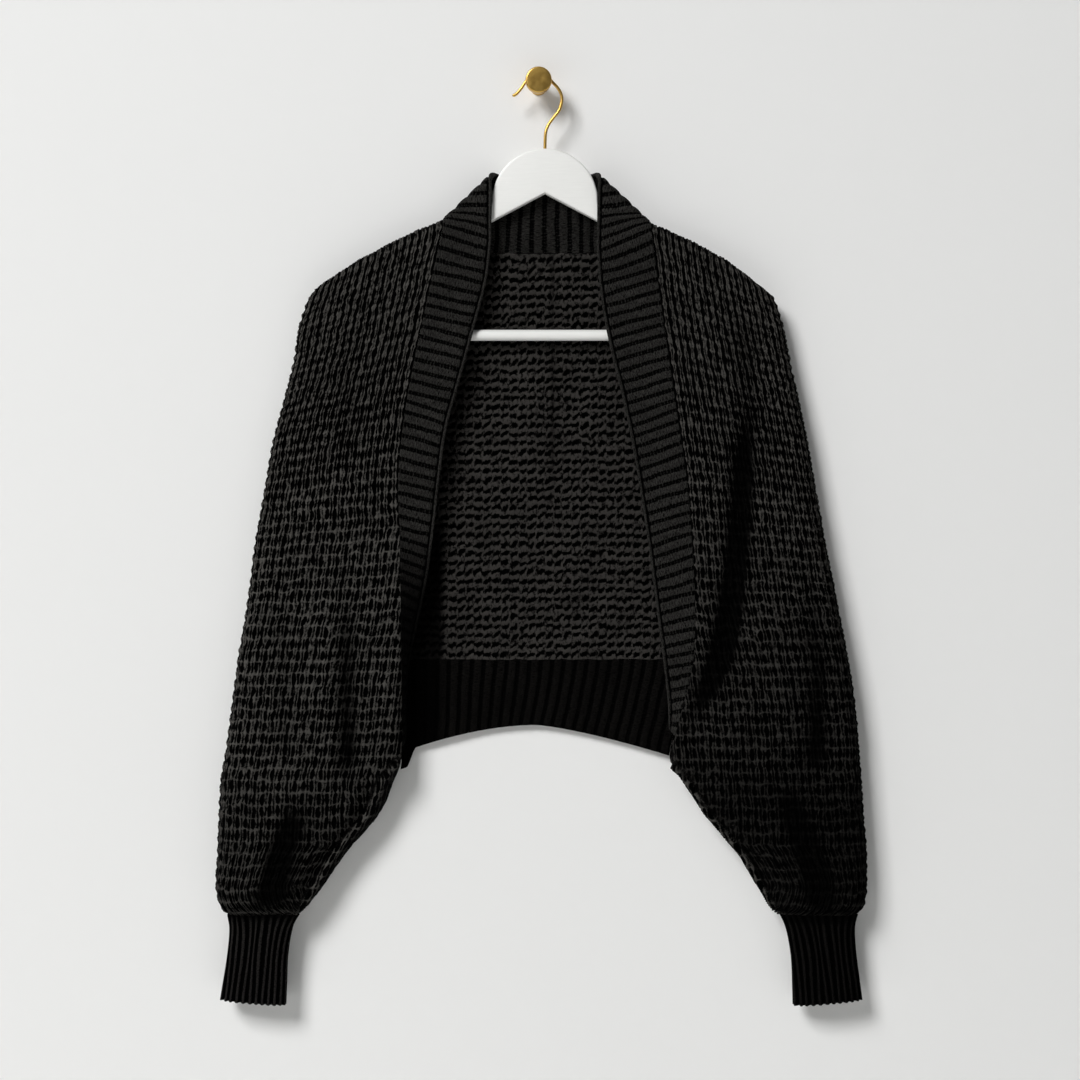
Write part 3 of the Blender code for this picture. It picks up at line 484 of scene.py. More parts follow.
# Large soft troughs: across is 0 at the inner line and 1 at the overarm. A trough's inner side
# may be wider than its outer side.
CREASE_COLUMNS = (
    "from_across", "from_row", "to_across", "to_row", "inner_width", "outer_width", "depth")
CREASES = {
    ("left", -1): [
        (0.35, 6.5, 0.28, 11.3, 11.0, 10.0, 5.0),
        (0.56, 11.2, 0.44, 15.4, 19.0, 11.0, 5.5),
        (0.62, 0.6, 0.40, 5.0, 14.0, 12.0, 1.5),
        (0.75, 6.5, 0.62, 10.5, 9.0, 12.0, 1.6),
    ],
    ("right", -1): [
        (0.61, 3.0, 0.04, 9.6, 14.0, 9.0, 8.5),
        (0.70, 0.6, 0.55, 4.5, 12.0, 12.0, 2.5),
        (0.82, 6.0, 0.74, 11.0, 12.0, 9.0, 2.0),
        (0.55, 11.0, 0.50, 15.4, 9.0, 12.0, 3.0),
    ],
    ("left", 1): [(0.45, 4.5, 0.30, 10.5, 12.0, 12.0, 3.0), (0.55, 11.0, 0.50, 15.2, 10.0, 9.0, 3.0)],
    ("right", 1): [(0.50, 4.0, 0.28, 10.0, 12.0, 12.0, 3.5), (0.60, 11.5, 0.48, 15.2, 9.0, 11.0, 2.5)],
}
CREASE_END_SHARE = 0.3


def ease(value):
    """A smooth step from 0 to 1: 3 t^2 - 2 t^3."""
    value = np.clip(value, 0, 1)
    return value * value * (3 - 2 * value)


def mound(distance, width):
    """A Gaussian, exp(-(d / w)^2): 1 where the distance is 0."""
    return np.exp(-((distance / width) ** 2))


def folded(value):
    """The distance from the middle of each unit, |2 t - 1|: 1 at whole numbers and 0 half-way."""
    return abs(value % 1 - 0.5) * 2


def way_along(x, y, axis):
    """The length along each line of points, from its start."""
    steps = (np.diff(line, axis=axis, prepend=np.take(line, [0], axis)) for line in (x, y))
    return np.cumsum(np.hypot(*steps), axis=axis)


def soft_noise(a, b, seed):
    """Seeded random heights from -1 to 1 on a unit lattice, eased between the lattice points."""
    lattice = np.random.default_rng(seed).uniform(-1, 1, (64, 64))
    cell_a, cell_b = np.floor(a).astype(int), np.floor(b).astype(int)
    part_a, part_b = ease(a - cell_a), ease(b - cell_b)
    corners = [[lattice[(cell_a + i) % 64, (cell_b + j) % 64] for j in (0, 1)] for i in (0, 1)]
    near = corners[0][0] + (corners[0][1] - corners[0][0]) * part_b
    far = corners[1][0] + (corners[1][1] - corners[1][0]) * part_b
    return near + (far - near) * part_a


def rolled_edge(arc, radius, below):
    """Cloth that turns over at an edge: the inset r - (r - below) cos(arc / r) and the share of the
    full depth sin(arc / r), straight past a quarter turn."""
    angle = np.clip(arc / radius, 0, math.pi / 2)
    inset = radius - (radius - below) * np.cos(angle) + np.maximum(arc - radius * math.pi / 2, 0)
    return inset, np.sin(angle)


def table_at(table, row):
    """A table's columns at these rows. Rows over the ridge, below 0, take its first row."""
    return np.moveaxis(smooth_rows(table, np.maximum(row, 0)), -1, 0)


def panel_arc(side, face, row):
    """Arc lengths of a panel at these rows: from its silhouette to its inner line, and all."""
    in_x, _, out_x, _ = table_at(OUTLINE[side], row)
    _, _, front_out, back, front_turn, back_turn = table_at(DEPTHS, row)
    turn = math.pi / 2 * np.clip(front_turn if face < 0 else back_turn, 0, 1)
    edge_radius = front_out if face < 0 else back
    silhouette = in_x - np.sign(out_x - in_x) * UNDERARM_RADIUS * (1 - np.cos(turn))
    length = abs(out_x - silhouette) + (math.pi / 2 - 1) * (UNDERARM_RADIUS + edge_radius)
    return UNDERARM_RADIUS * turn, length


def crease_depth(side, face, x, row):
    """How far the troughs lie back: each is a Gaussian across its line, eased out at its ends."""
    in_x, _, out_x, _ = table_at(OUTLINE[side], row)
    depth = 0.0 * x
    for start, first_row, end, last_row, inner_width, outer_width, trough in CREASES[side, face]:
        way = (row - first_row) / (last_row - first_row)
        distance = x - in_x - (start + (end - start) * way) * (out_x - in_x)
        distance = distance * np.sign(out_x - in_x)
        width = np.where(distance < 0, inner_width, outer_width)
        ends = ease(way / CREASE_END_SHARE) * ease((1 - way) / CREASE_END_SHARE)
        depth = depth + trough * ends * mound(distance, width)
    return depth


def panel_points(side, face, across, row, below, creased=True):
    """Points of a front (face -1) or back (face 1): the cloth rolls up at its inner line, crowns
    between, rolls over the overarm and over the hanger's arm, and lies back along its troughs."""
    across, row = np.broadcast_arrays(np.asarray(across, float), np.asarray(row, float))
    in_x, in_drop, out_x, out_drop = table_at(OUTLINE[side], row)
    front_in, front_mid, front_out, back, _, _ = table_at(DEPTHS, row)
    outward = np.sign(out_x - in_x)
    start, arc_length = panel_arc(side, face, row)
    silhouette = in_x - outward * UNDERARM_RADIUS * (1 - np.cos(start / UNDERARM_RADIUS))
    arc = start + np.maximum(across, 0) * (arc_length - start)
    in_inset, in_share = rolled_edge(arc, UNDERARM_RADIUS, below)
    out_inset, out_share = rolled_edge(arc_length - arc, front_out if face < 0 else back, below)
    x = np.where(arc < arc_length / 2, silhouette + outward * in_inset, out_x - outward * out_inset)
    part = np.clip((x - in_x) / (out_x - in_x), 0, 1)
    if face < 0:
        depth = front_in * (1 - part) * (1 - 2 * part)
        depth = depth + 4 * front_mid * part * (1 - part) + front_out * part * (2 * part - 1)
    else:
        depth = back + 0 * x
    if creased:
        depth = depth - crease_depth(side, face, x, row)
        swell = soft_noise(x / 55.0 + 9, in_drop / 80.0, 5 + face)
        swell = swell * ease(row / 3) * ease((LAST_ROW - row) / 3)
        swell = (swell - 0.4) * ease(part / 0.15) * (part > 0)
        depth = depth + SWELL[face] * swell
    if face < 0:
        under = ease((row - ROLL_START_ROW) / 1.5)
        past_strip = ease((abs(x - in_x) - UNDERARM_STRIP[side]) / UNDERARM_ROLL)
        depth = depth + under * (1 - past_strip) * (UNDERARM_ROLL - depth)
    ridge_angle = math.pi / 2 * (1 + np.minimum(row, 0))
    over_ridge = np.cos(ridge_angle)
    near_ridge = np.maximum(1 - np.maximum(row, 0), 0)
    bulge = RIDGE_BULGE * 4 * part * (1 - part) * near_ridge
    drop = in_drop + (out_drop - in_drop) * part - bulge - (RIDGE_RADIUS - below) * over_ridge
    x = x - outward * CORNER_CUT[side] * (over_ridge + 0.3 * near_ridge**2) * part**4
    y = MIDDLE_Y + face * (depth - below) * in_share * out_share * np.sin(ridge_angle)
    inward = np.maximum(-across, 0)
    x = x + inward * (HANGER_X - in_x)
    dip = (NECK_SEAM_DROP - OUTLINE[side][0][1]) * np.minimum(inward / NECK_SEAM_LEVEL_SHARE, 1)
    drop = drop + dip * np.maximum(1 - np.maximum(row, 0) / NECK_DIP_ROWS, 0)
    return np.stack([x, y, -drop], axis=-1)


def surface_normals(points):
    """Unit normals of a grid of points: the cross product of its two directions."""
    normal = np.cross(np.gradient(points, axis=0), np.gradient(points, axis=1))
    length = np.linalg.norm(normal, axis=-1)[..., None]
    return np.where(length > 1e-9, normal / np.maximum(length, 1e-9), 0.0)


def waffle_height(wale, course):
    """Height of the waffle's face, from about -0.1 to 1: deep grooves between the wales, a slot
    down the middle of each wale, and a low cross bar at each course that half bridges both."""
    groove = ease((folded(wale) - 0.5) / 0.45)
    slot = 1 - ease((folded(wale) - 0.05) / 0.4)
    bar = ease((folded(course) - 0.55) / 0.4)
    return 0.66 + 0.08 * bar - 0.78 * groove * (1 - 0.3 * bar) - 0.45 * slot * (1 - 0.6 * bar)


def reverse_height(wale, course):
    """Height of the waffle's reverse, from 0 to 1: cosine cross ridges of slanting loops, each
    lifted by a share of the ridges' spacing from its left to its right, and a hole under its middle."""
    loop = wale * REVERSE_HOLES % 1
    rise = 0.5 + 0.5 * np.cos(2 * math.pi * (course * REVERSE_RIDGES + REVERSE_SLANT * loop))
    hole = (1 - rise) * (1 - folded(loop))
    return np.clip(0.6 * rise + 0.4 - 0.4 * hole, 0, 1)


def cloth_shell(name, outer, inner, wale_course, shades, materials,
                tops=None, bottoms=None, wrap=False):
    """A closed shell between an outer and an inner grid of points. `tops` and `bottoms` give, for
    each row of cells, the columns that its upper and lower corners use, so that a row may end at a
    slanting edge. Edges used by one face only are joined across the wall."""
    rows, columns = outer.shape[:2]
    if tops is None:
        tops = bottoms = np.broadcast_to(np.arange(columns), (rows - 1, columns))
    if wrap:
        tops, bottoms = (np.concatenate([t, t[:, :1]], axis=1) for t in (tops, bottoms))
    base = np.arange(rows - 1)[:, None] * columns
    upper, lower = base + tops, base + columns + bottoms
    face = cut_cells(upper[:, :-1], upper[:, 1:], lower[:, 1:], lower[:, :-1])
    face = face[(face[:, 0] != face[:, 1]) & (face[:, 1] != face[:, 2]) & (face[:, 2] != face[:, 0])]
    total = rows * columns
    edges = np.concatenate([face[:, [0, 1]], face[:, [1, 2]], face[:, [2, 0]]])
    code, reverse = edges[:, 0] * total + edges[:, 1], edges[:, 1] * total + edges[:, 0]
    start, end = edges[~np.isin(code, reverse)].T
    rim = cut_cells(end, start, start + total, end + total)
    triangles = np.concatenate([face, face[:, ::-1] + total, rim])
    face_slots = np.repeat([0, 1, 0], [len(face), len(face), len(rim)])
    points = np.concatenate([outer.reshape(-1, 3), inner.reshape(-1, 3)])
    corner_uv = np.concatenate([wale_course.reshape(-1, 2)] * 2)[triangles]
    shade = np.concatenate([np.broadcast_to(side, (rows, columns)).ravel() for side in shades])
    made = mesh_piece(name, points, triangles, materials, face_slots, corner_uv, shade)
    made.data.set_sharp_from_angle(angle=math.radians(80))
    return made


def knit_rows(side):
    """Table rows of the knit's lines of points, six to a course, and their course numbers."""
    fine = np.linspace(0, LAST_ROW, 1601)
    length = smooth_rows(OUTLINE[side], fine)[:, 1]
    length = length - length[0]
    count = int(round(length[-1] / COURSE * ROWS_PER_COURSE))
    down = np.linspace(0, length[-1], count + 1)
    below_ridge = np.interp(down, length, fine)
    over = np.linspace(-1, 0, ROWS_PER_COURSE + 1)[:-1]
    course = np.concatenate([over * RIDGE_RADIUS * math.pi / 2 / COURSE, down / COURSE])
    return np.concatenate([over, below_ridge]), course


def yarn_material(name, pattern, lit, fuzz, wander, cut_in, unlike):
    """Matt dyed yarn whose stitches are drawn by `pattern`, which turns the piece's stitch
    coordinates into a height. The stitches wander, the loops are `unlike` each other, and places
    lower than `cut_in` are painted black, as painted shade between the loops. Twisted strands
    1.1 mm thick lie on the top, the dye has patches 36 mm across, and the piece's painted shade
    darkens it."""
    made, tree = new_material(name)
    stitch = add_node(tree, "UVMap", uv_map="knit")
    drift = add_node(tree, "TexNoise", {
        "Vector": stitch, "Scale": 0.55, "Detail": 3.0, "Roughness": 0.6}).outputs["Color"]
    centred = add_node(tree, "VectorMath", [drift, (0.5, 0.5, 0.5)], operation="SUBTRACT")
    amount = add_node(tree, "VectorMath", [centred, (*wander, 0.0)], operation="MULTIPLY")
    moved = add_node(tree, "VectorMath", [stitch, amount], operation="ADD")
    split = add_node(tree, "SeparateXYZ", [moved])
    height = pattern(tree, split.outputs["X"], split.outputs["Y"])
    loops = add_node(tree, "TexNoise", {"Vector": stitch, "Scale": 2.4, "Detail": 1.0})
    height = add_node(tree, "Math", [loops, unlike, height], operation="MULTIPLY_ADD")
    height = add_node(tree, "Math", [height, 0.55 + 0.5 * unlike], operation="SUBTRACT")
    place = add_node(tree, "TexCoord").outputs["Object"]
    strands = add_node(tree, "TexNoise", {
        "Vector": place, "Scale": 900.0, "Detail": 3.0, "Roughness": 0.65})
    patches = add_node(tree, "TexNoise", {"Vector": place, "Scale": 28.0, "Detail": 3.0})
    height = add_node(tree, "Math", [strands, 1.1, height], operation="MULTIPLY_ADD")
    # Painted shade: low places between the loops are painted black
    level = add_node(tree, "MapRange", [height, cut_in, cut_in + 0.6], interpolation_type="SMOOTHSTEP")
    tone = add_node(tree, "Mix", {"Factor": level, "A": linear("#000000"), "B": linear(lit)},
                    data_type="RGBA")
    uneven = add_node(tree, "MapRange", [patches, 0.3, 0.7, 0.84, 1.14])
    # The piece's painted shade darkens the colour
    shade = add_node(tree, "Attribute", attribute_name="shade").outputs["Fac"]
    unshaded = add_node(tree, "Math", [1.0, shade], operation="SUBTRACT", use_clamp=True)
    strength = add_node(tree, "Math", [uneven, unshaded], operation="MULTIPLY")
    colour = add_node(tree, "Mix", {"Factor": 1.0, "A": tone, "B": strength},
                      data_type="RGBA", blend_type="MULTIPLY")
    relief = add_node(tree, "Bump", {"Height": height, "Strength": fuzz, "Distance": 0.0016})
    shader = add_node(tree, "BsdfPrincipled", {
        "Base Color": colour, "Roughness": 0.95, "IOR": 1.45, "Specular IOR Level": 0.02,
        "Sheen Weight": 0.004, "Sheen Roughness": 0.5, "Normal": relief})
    add_node(tree, "OutputMaterial", {"Surface": shader})
    return made


def fold_of(tree, value):
    """The same as folded, in nodes."""
    part = add_node(tree, "Math", [value], operation="FRACT")
    off = add_node(tree, "Math", [part, 0.5], operation="SUBTRACT")
    size = add_node(tree, "Math", [off], operation="ABSOLUTE")
    return add_node(tree, "Math", [size, 2.0], operation="MULTIPLY")


def product_of(tree, *steps):
    """Nodes for a product of smooth steps. Each step is the value that it follows, the two limits
    between which it runs and, where these aren't 0 and 1, what it is at them."""
    product, *factors = [
        add_node(tree, "MapRange", step, interpolation_type="SMOOTHSTEP") for step in steps]
    for factor in factors:
        product = add_node(tree, "Math", [product, factor], operation="MULTIPLY")
    return product


def waffle_pattern(tree, wale, course):
    """The same height as waffle_height, in nodes. The cross bars are beaded and pinch the grooves.
    They and the slots show more down the sleeves, and the holes open wider up the yoke."""
    across, along = fold_of(tree, wale), fold_of(tree, course)
    place = add_node(tree, "CombineXYZ", [wale, course])
    beads = add_node(tree, "TexNoise", {"Vector": place, "Scale": 1.7, "Detail": 1.0})
    stretch = add_node(tree, "TexNoise", {"Vector": place, "Scale": 0.9, "Detail": 2.0})
    bar = product_of(tree, [along, 0.64, 0.97], [course, 8.0, 30.0, 0.35, 0.9],
                     [beads, 0.3, 0.6, 0.45, 1.1])
    pinched = add_node(tree, "Math", [along, -0.32, across], operation="MULTIPLY_ADD")
    groove = add_node(tree, "MapRange", [pinched, 0.2, 0.7, 0.0, 1.05], interpolation_type="SMOOTHSTEP")
    slot = product_of(tree, [across, 0.0, 0.42, 0.62, 0.0], [course, 8.0, 20.0, 0.45, 1.0])
    cut = add_node(tree, "Math", [groove, slot], operation="ADD")
    opened = product_of(tree, [stretch, 0.35, 0.68, 0.55, 1.6], [course, 12.0, 26.0, 1.2, 0.84])
    bridged = add_node(tree, "Math", [bar, -0.85, 1.0], operation="MULTIPLY_ADD")
    for factor in (opened, bridged):
        cut = add_node(tree, "Math", [cut, factor], operation="MULTIPLY")
    raised = add_node(tree, "Math", [bar, 0.05, 0.66], operation="MULTIPLY_ADD")
    return add_node(tree, "Math", [raised, cut], operation="SUBTRACT")


def reverse_pattern(tree, wale, course):
    """The same ridges of slanting loops as reverse_height, 9.2 mm apart, in nodes."""
    ridge = add_node(tree, "Math", [course, REVERSE_RIDGES], operation="MULTIPLY")
    spaced = add_node(tree, "Math", [wale, REVERSE_HOLES], operation="MULTIPLY")
    loop = add_node(tree, "Math", [spaced], operation="FRACT")
    slanted = add_node(tree, "Math", [loop, REVERSE_SLANT, ridge], operation="MULTIPLY_ADD")
    hole = product_of(tree, [fold_of(tree, slanted), 0.1, 0.72, 1.0, 0.0],
                      [fold_of(tree, spaced), 0.15, 0.9, 0.9, 0.42])
    return add_node(tree, "Math", [0.72, hole], operation="SUBTRACT")


# Black dyed chunky yarn, an acrylic and wool blend: very matt, with lit strands a dark warm grey.
# The reverse, seen inside the garment, is painted darker, as painted shade.
waffle_face = yarn_material("black_waffle_knit", waffle_pattern, lit="#504e4b", fuzz=0.75,
                            wander=(0.6, 0.85), cut_in=0.22, unlike=1.05)
waffle_reverse = yarn_material("black_waffle_knit_reverse", reverse_pattern, lit="#383634", fuzz=0.75,
                               wander=(1.2, 0.9), cut_in=0.22, unlike=1.6)

# Painted shade that darkens the yarn's colour, from 0 to 1, where less light gets in
DEEPEST_SHADE = 0.97
TROUGH_BLACK_DEPTH = 6.5
LOWER_SHADE = 0.6
SLEEVE_END_SHADE = 0.12
SIDE_SHADE = {"left": 0.0, "right": 0.12}
FRONT_INSIDE_SHADE = 0.5
BESIDE_BAND_SHADE = 0.55
BEHIND_END_SHADE = 0.93
LINE_SHADE = 0.5
LINE_X = 14.0
ROPE_SHADES = (0.1, 0.7)


def front_shade(side, points, row):
    """Painted shade on a front, from 0 to 1: with the depth of the troughs, with the drop and to
    the right, more on the right front, and towards the gathered ends of the sleeves."""
    x, drop = points[..., 0], -points[..., 2]
    shade = crease_depth(side, -1, x, row) / TROUGH_BLACK_DEPTH
    shade = shade + LOWER_SHADE * ease((0.5 * x + drop - 400.0) / 480.0)
    shade = shade + SIDE_SHADE[side] + SLEEVE_END_SHADE * ease((drop - 620.0) / 130.0)
    return np.clip(shade, 0, DEEPEST_SHADE)


def back_shade(points):
    """Painted shade on the inside of a back: a painted shadow beside the left band and behind its
    turned end, each an eased step, and painted shade along a faint upright crease, a Gaussian."""
    x, drop = points[..., 0], -points[..., 2]
    beside = BESIDE_BAND_SHADE * (1 - ease((x + 0.23 * drop + 6.0) / 10.0))
    line = LINE_SHADE * mound(x - LINE_X, 2.6) * ease((430.0 - drop) / 60.0)
    behind_end = BEHIND_END_SHADE * (1 - ease((x + 101.0) / 10.0)) * ease((drop - 400.0) / 60.0)
    return np.maximum(np.maximum(beside, behind_end), line)


def underarm_strip(side, row, inset):
    """The underarm's rolled seam allowance, below the end of the band: the share of it at each
    point, its height, which is a Gaussian rope with a narrower hollow inside it, and the painted
    shade on the rope, deeper on the strip outside it, and in the hollow."""
    start = ease((row - STRIP_START_ROW) / 0.4)
    width = UNDERARM_STRIP[side] * (0.3 + 0.7 * ease((row - STRIP_START_ROW) / 1.3))
    width = width * (1 - 0.3 * ease((row - STRIP_NARROW_ROW) / 2.5))
    share = start * (1 - ease((inset - width) / 2.0))
    from_rope = inset - (width - ROPE_INSIDE_STRIP)
    from_hollow = from_rope - ROPE_TO_HOLLOW
    height = ROPE_HEIGHT * mound(from_rope, 3.2) - HOLLOW_DEPTH * mound(from_hollow, 1.8)
    rope_shade = ROPE_SHADES[0] + ROPE_SHADES[1] * (1 - ease((from_rope + 5.0) / 3.0))
    return share, height, rope_shade, mound(from_hollow, 2.2) * start


def panel_piece(side, face, name):
    """One panel: wales run down it and courses across, its points four to a wale and six to a
    course. A front's wales are counted from the overarm, and a back's from the middle."""
    row, course = (line[:, None] for line in knit_rows(side))
    start, length = panel_arc(side, face, row)
    width = length - start
    if face < 0:
        pitch = np.clip(width / FRONT_WALES, *FRONT_WALE_LIMITS)
        first_edge, last_edge = 0 * width, width
        wide = np.ones((len(row) - 1, 1), bool)
    else:
        pitch = np.full_like(row, WALE)
        body = abs(table_at(OUTLINE[side], row)[0] - HANGER_X)
        first_edge, last_edge = body, body + width
        course = -panel_points(side, face, -1.0, row, 0.0, False)[..., 2] / COURSE
        wide = (row[:-1] > -1e-9) & (row[1:] < HEM_ROW + 0.02)
    columns = int(np.ceil((last_edge / pitch).max() * COLUMNS_PER_WALE)) + 1
    step = pitch / COLUMNS_PER_WALE
    here = np.arange(columns)[None, :]
    last = np.clip(np.ceil(last_edge / step - 0.4).astype(int), 0, columns - 1)
    first = np.clip(np.floor(first_edge / step + 0.4).astype(int), 0, columns - 1)
    narrow = ~(np.pad(wide, ((1, 0), (0, 0))) | np.pad(wide, ((0, 1), (0, 0))))
    distance = np.where(here >= last, last_edge, here * step)
    distance = np.where((here == first) | (narrow & (here < first)), first_edge, distance)
    across = 1 - distance / width if face < 0 else np.where(
        distance < body, distance / body - 1, (distance - body) / width)
    tops = np.clip(here, np.where(wide, 0, first[:-1]), last[:-1])
    bottoms = np.clip(here, np.where(wide, 0, first[1:]), last[1:])
    rightward = -distance if face > 0 and side == "left" else distance
    wale_course = np.stack(np.broadcast_arrays(rightward / pitch, course), -1)

    outer = panel_points(side, face, across, row, 0.0)
    inner = panel_points(side, face, across, row, CLOTH)
    normal = surface_normals(outer)
    normal *= np.sign((normal[..., 1] * face).sum())
    from_line = abs(distance - (width if face < 0 else body))
    seam = np.where((row < BAND_END_ROW) & (across >= 0), ease(from_line / 4.0), 1.0)
    ends = ease((row[-1] - row + 0.02) / 0.25)
    wobble = soft_noise(rightward / 9.0, course * 1.4, 11 + face)
    sag = soft_noise(rightward / 9.0 + 31, course * 1.4, 17 + face)
    rough = 1 + 0.3 * soft_noise(rightward / 15.0 + 7, course / 1.3, 23 + face)
    relief = waffle_height(wale_course[..., 0], wale_course[..., 1]) - WAFFLE_MEAN
    relief = relief * WAFFLE_DEPTH * rough
    from_overarm = distance if face < 0 else last_edge - distance
    relief = relief + OVERARM_SCALLOP * np.cos(2 * math.pi * course) * (1 - ease(from_overarm / 9.0))
    if face < 0:
        inset = width - distance
        strip, rope, rope_shade, hollow_shade = underarm_strip(side, row, inset)
        strokes = way_along(*table_at(OUTLINE[side], row)[:2], 0) / STROKE_SPACING["along"]
        strokes = strokes + inset / STROKE_SPACING["inwards"]
        rope = rope + STROKE_HEIGHT * np.sin(2 * math.pi * strokes)
        relief = relief * (1 - strip) + strip * rope
        wale_course[..., 0] = np.where(strip > 0.5, strokes, wale_course[..., 0])
        # Painted shade on the front's face and its underarm roll, and an even painted shade inside it
        shade = front_shade(side, outer, row) * (1 - strip) + strip * rope_shade
        shades = (np.maximum(shade, hollow_shade), FRONT_INSIDE_SHADE)
    else:
        strip = 0.0
        # Painted shade and painted shadow on the inside of the back
        shades = (0.0, back_shade(inner))
    slack = soft_noise(rightward / 3.1, course * 4.0, 29 + face) * 0.25
    outer = outer + normal * ((relief + slack) * seam * ends)[..., None]
    shift = np.stack([STITCH_WANDER[0] * wobble, 0 * wobble, STITCH_WANDER[1] * sag], -1)
    shift = shift * (seam * ends * (1 - strip))[..., None]
    shift = shift * (ease(from_overarm / 3.0) * (1 if face < 0 else ease(distance / 3.0)))[..., None]
    inner_relief = (1 - reverse_height(wale_course[..., 0], wale_course[..., 1])) * REVERSE_DEPTH
    inner = inner + normal * (inner_relief * seam * ends)[..., None] + shift
    return cloth_shell(name, outer + shift, inner, wale_course, shades,
                       [waffle_face, waffle_reverse], tops, bottoms)


for side in ("left", "right"):
    back = panel_piece(side, 1, f"back_{side}_waffle")
    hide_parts(f"back_{side}")

# Front panels
# Two fronts of the same knit, each with the front of a sleeve, sewn to the backs along the overarm
# and the underarm. The underarm's seam allowance rolls forward like a rope.
for side in ("left", "right"):
    front = panel_piece(side, -1, f"front_{side}_waffle")
    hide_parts(f"front_{side}")

# Shawl band
# One long strip of chunky rib, its ribs lying across it 11.2 mm apart, with a narrow rolled free
# edge. It is sewn up the left front, round the neck behind the hanger and down the right front.
BAND_CLOTH = 3.6
RIB_PITCH = 11.2
POINTS_PER_RIB = 6
RIB_DEPTH = 2.2
RIB_BACK_DEPTH = 1.2
# Painted shade on the band's lower left end, where it turns under, and on its inner face
TURNED_SHADE = 0.9
BAND_BACK_SHADE = 0.3
# How far the ribs lean, at shares of the way from the band's left end round to its right end
RIB_LEAN = ((0.0, 0.40, 0.5, 0.58, 1.0), (-0.11, -0.11, 0.0, 0.23, 0.23))
# Shares of the way across at which points lie, closer together at both edges
BAND_SHARES = np.linspace(0, 1, 33)
BAND_SHARES = BAND_SHARES - 0.62 * np.sin(2 * math.pi * BAND_SHARES) / (2 * math.pi)
EDGE_COLUMNS = ("x", "drop", "depth", "panel_row")
EDGE = {
    "left": [
        (-134, 664, -8, 9.8), (-134, 625, -8, 8.8), (-131, 584, -5, 8),
        (-122, 546, 2, 7.35), (-111.5, 500, 9, 6.55), (-104, 444, 11, 5.65),
        (-98, 391, 11, 4.75), (-91, 345, 11, 3.95), (-78, 298, 11, 3.05),
        (-66, 254, 11, 2.15), (-52.5, 203, 10.6, 1.15), (-47.6, 163, 10.4, 0.2),
    ],
    "right": [
        (131, 650, -4, 9.5), (129.5, 622, 3, 8.85), (124.5, 580, 9, 8),
        (118, 530, 11, 7.15), (111, 476, 11, 6.2), (103.5, 424, 11, 5.35),
        (94.5, 370, 11, 4.4), (84, 318, 11, 3.45), (71.5, 268, 11, 2.45),
        (62, 215, 10.6, 1.35), (58.3, 168, 10.4, 0.25),
    ],
}
NECK_TIP = {"left": (-46.2, 91.6), "right": (59.0, 91.6)}
NECK_EDGE_DROP = 98.0
NECK_DEPTH = 11.6
SHOULDER_SHARES = [(0.2, -0.5), (0.36, -1.3), (0.5, -1.95), (0.75, -2.18)]
NECK_SHARES = [(0.0, -2.38), (0.5, -2.69), (1.0, -3.0)]


def mitre(side):
    """The band's fold at the shoulder: a point on its line, the direction from it into the
    garment, and the radius that meets the panels' ridge."""
    tip = np.array(NECK_TIP[side])
    shoulder = panel_points(side, -1, 0.0, -1.0, 0.0, False)
    along = np.array([shoulder[0], -shoulder[2]]) - tip
    along /= np.linalg.norm(along)
    into = np.array([-along[1], along[0]])
    into *= np.sign(into[1])
    return tip, into, RIDGE_RADIUS * into[1]


def unfold(side, flat, behind):
    """Lay points of the band flat: past the fold line an arc r acos(1 - d / r) replaces d."""
    tip, into, radius = mitre(side)
    distance = np.maximum((flat - tip) @ into, 0.0)
    arc = np.where(distance < radius, radius * np.arccos(np.clip(1 - distance / radius, -1, 1)),
                   distance + radius * (math.pi / 2 - 1))
    return flat + into * (np.where(behind, -arc, arc) - distance)[..., None]


def fold(side, flat, depth):
    """Fold flat points of the band over the hanger at the shoulder, with their depth."""
    tip, into, radius = mitre(side)
    arc = (flat - tip) @ into
    inset, share = rolled_edge(abs(arc), radius, 0.0)
    place = flat + into * (inset - arc)[..., None]
    return np.stack([place[..., 0], MIDDLE_Y - np.sign(arc) * depth * share, -place[..., 1]], axis=-1)


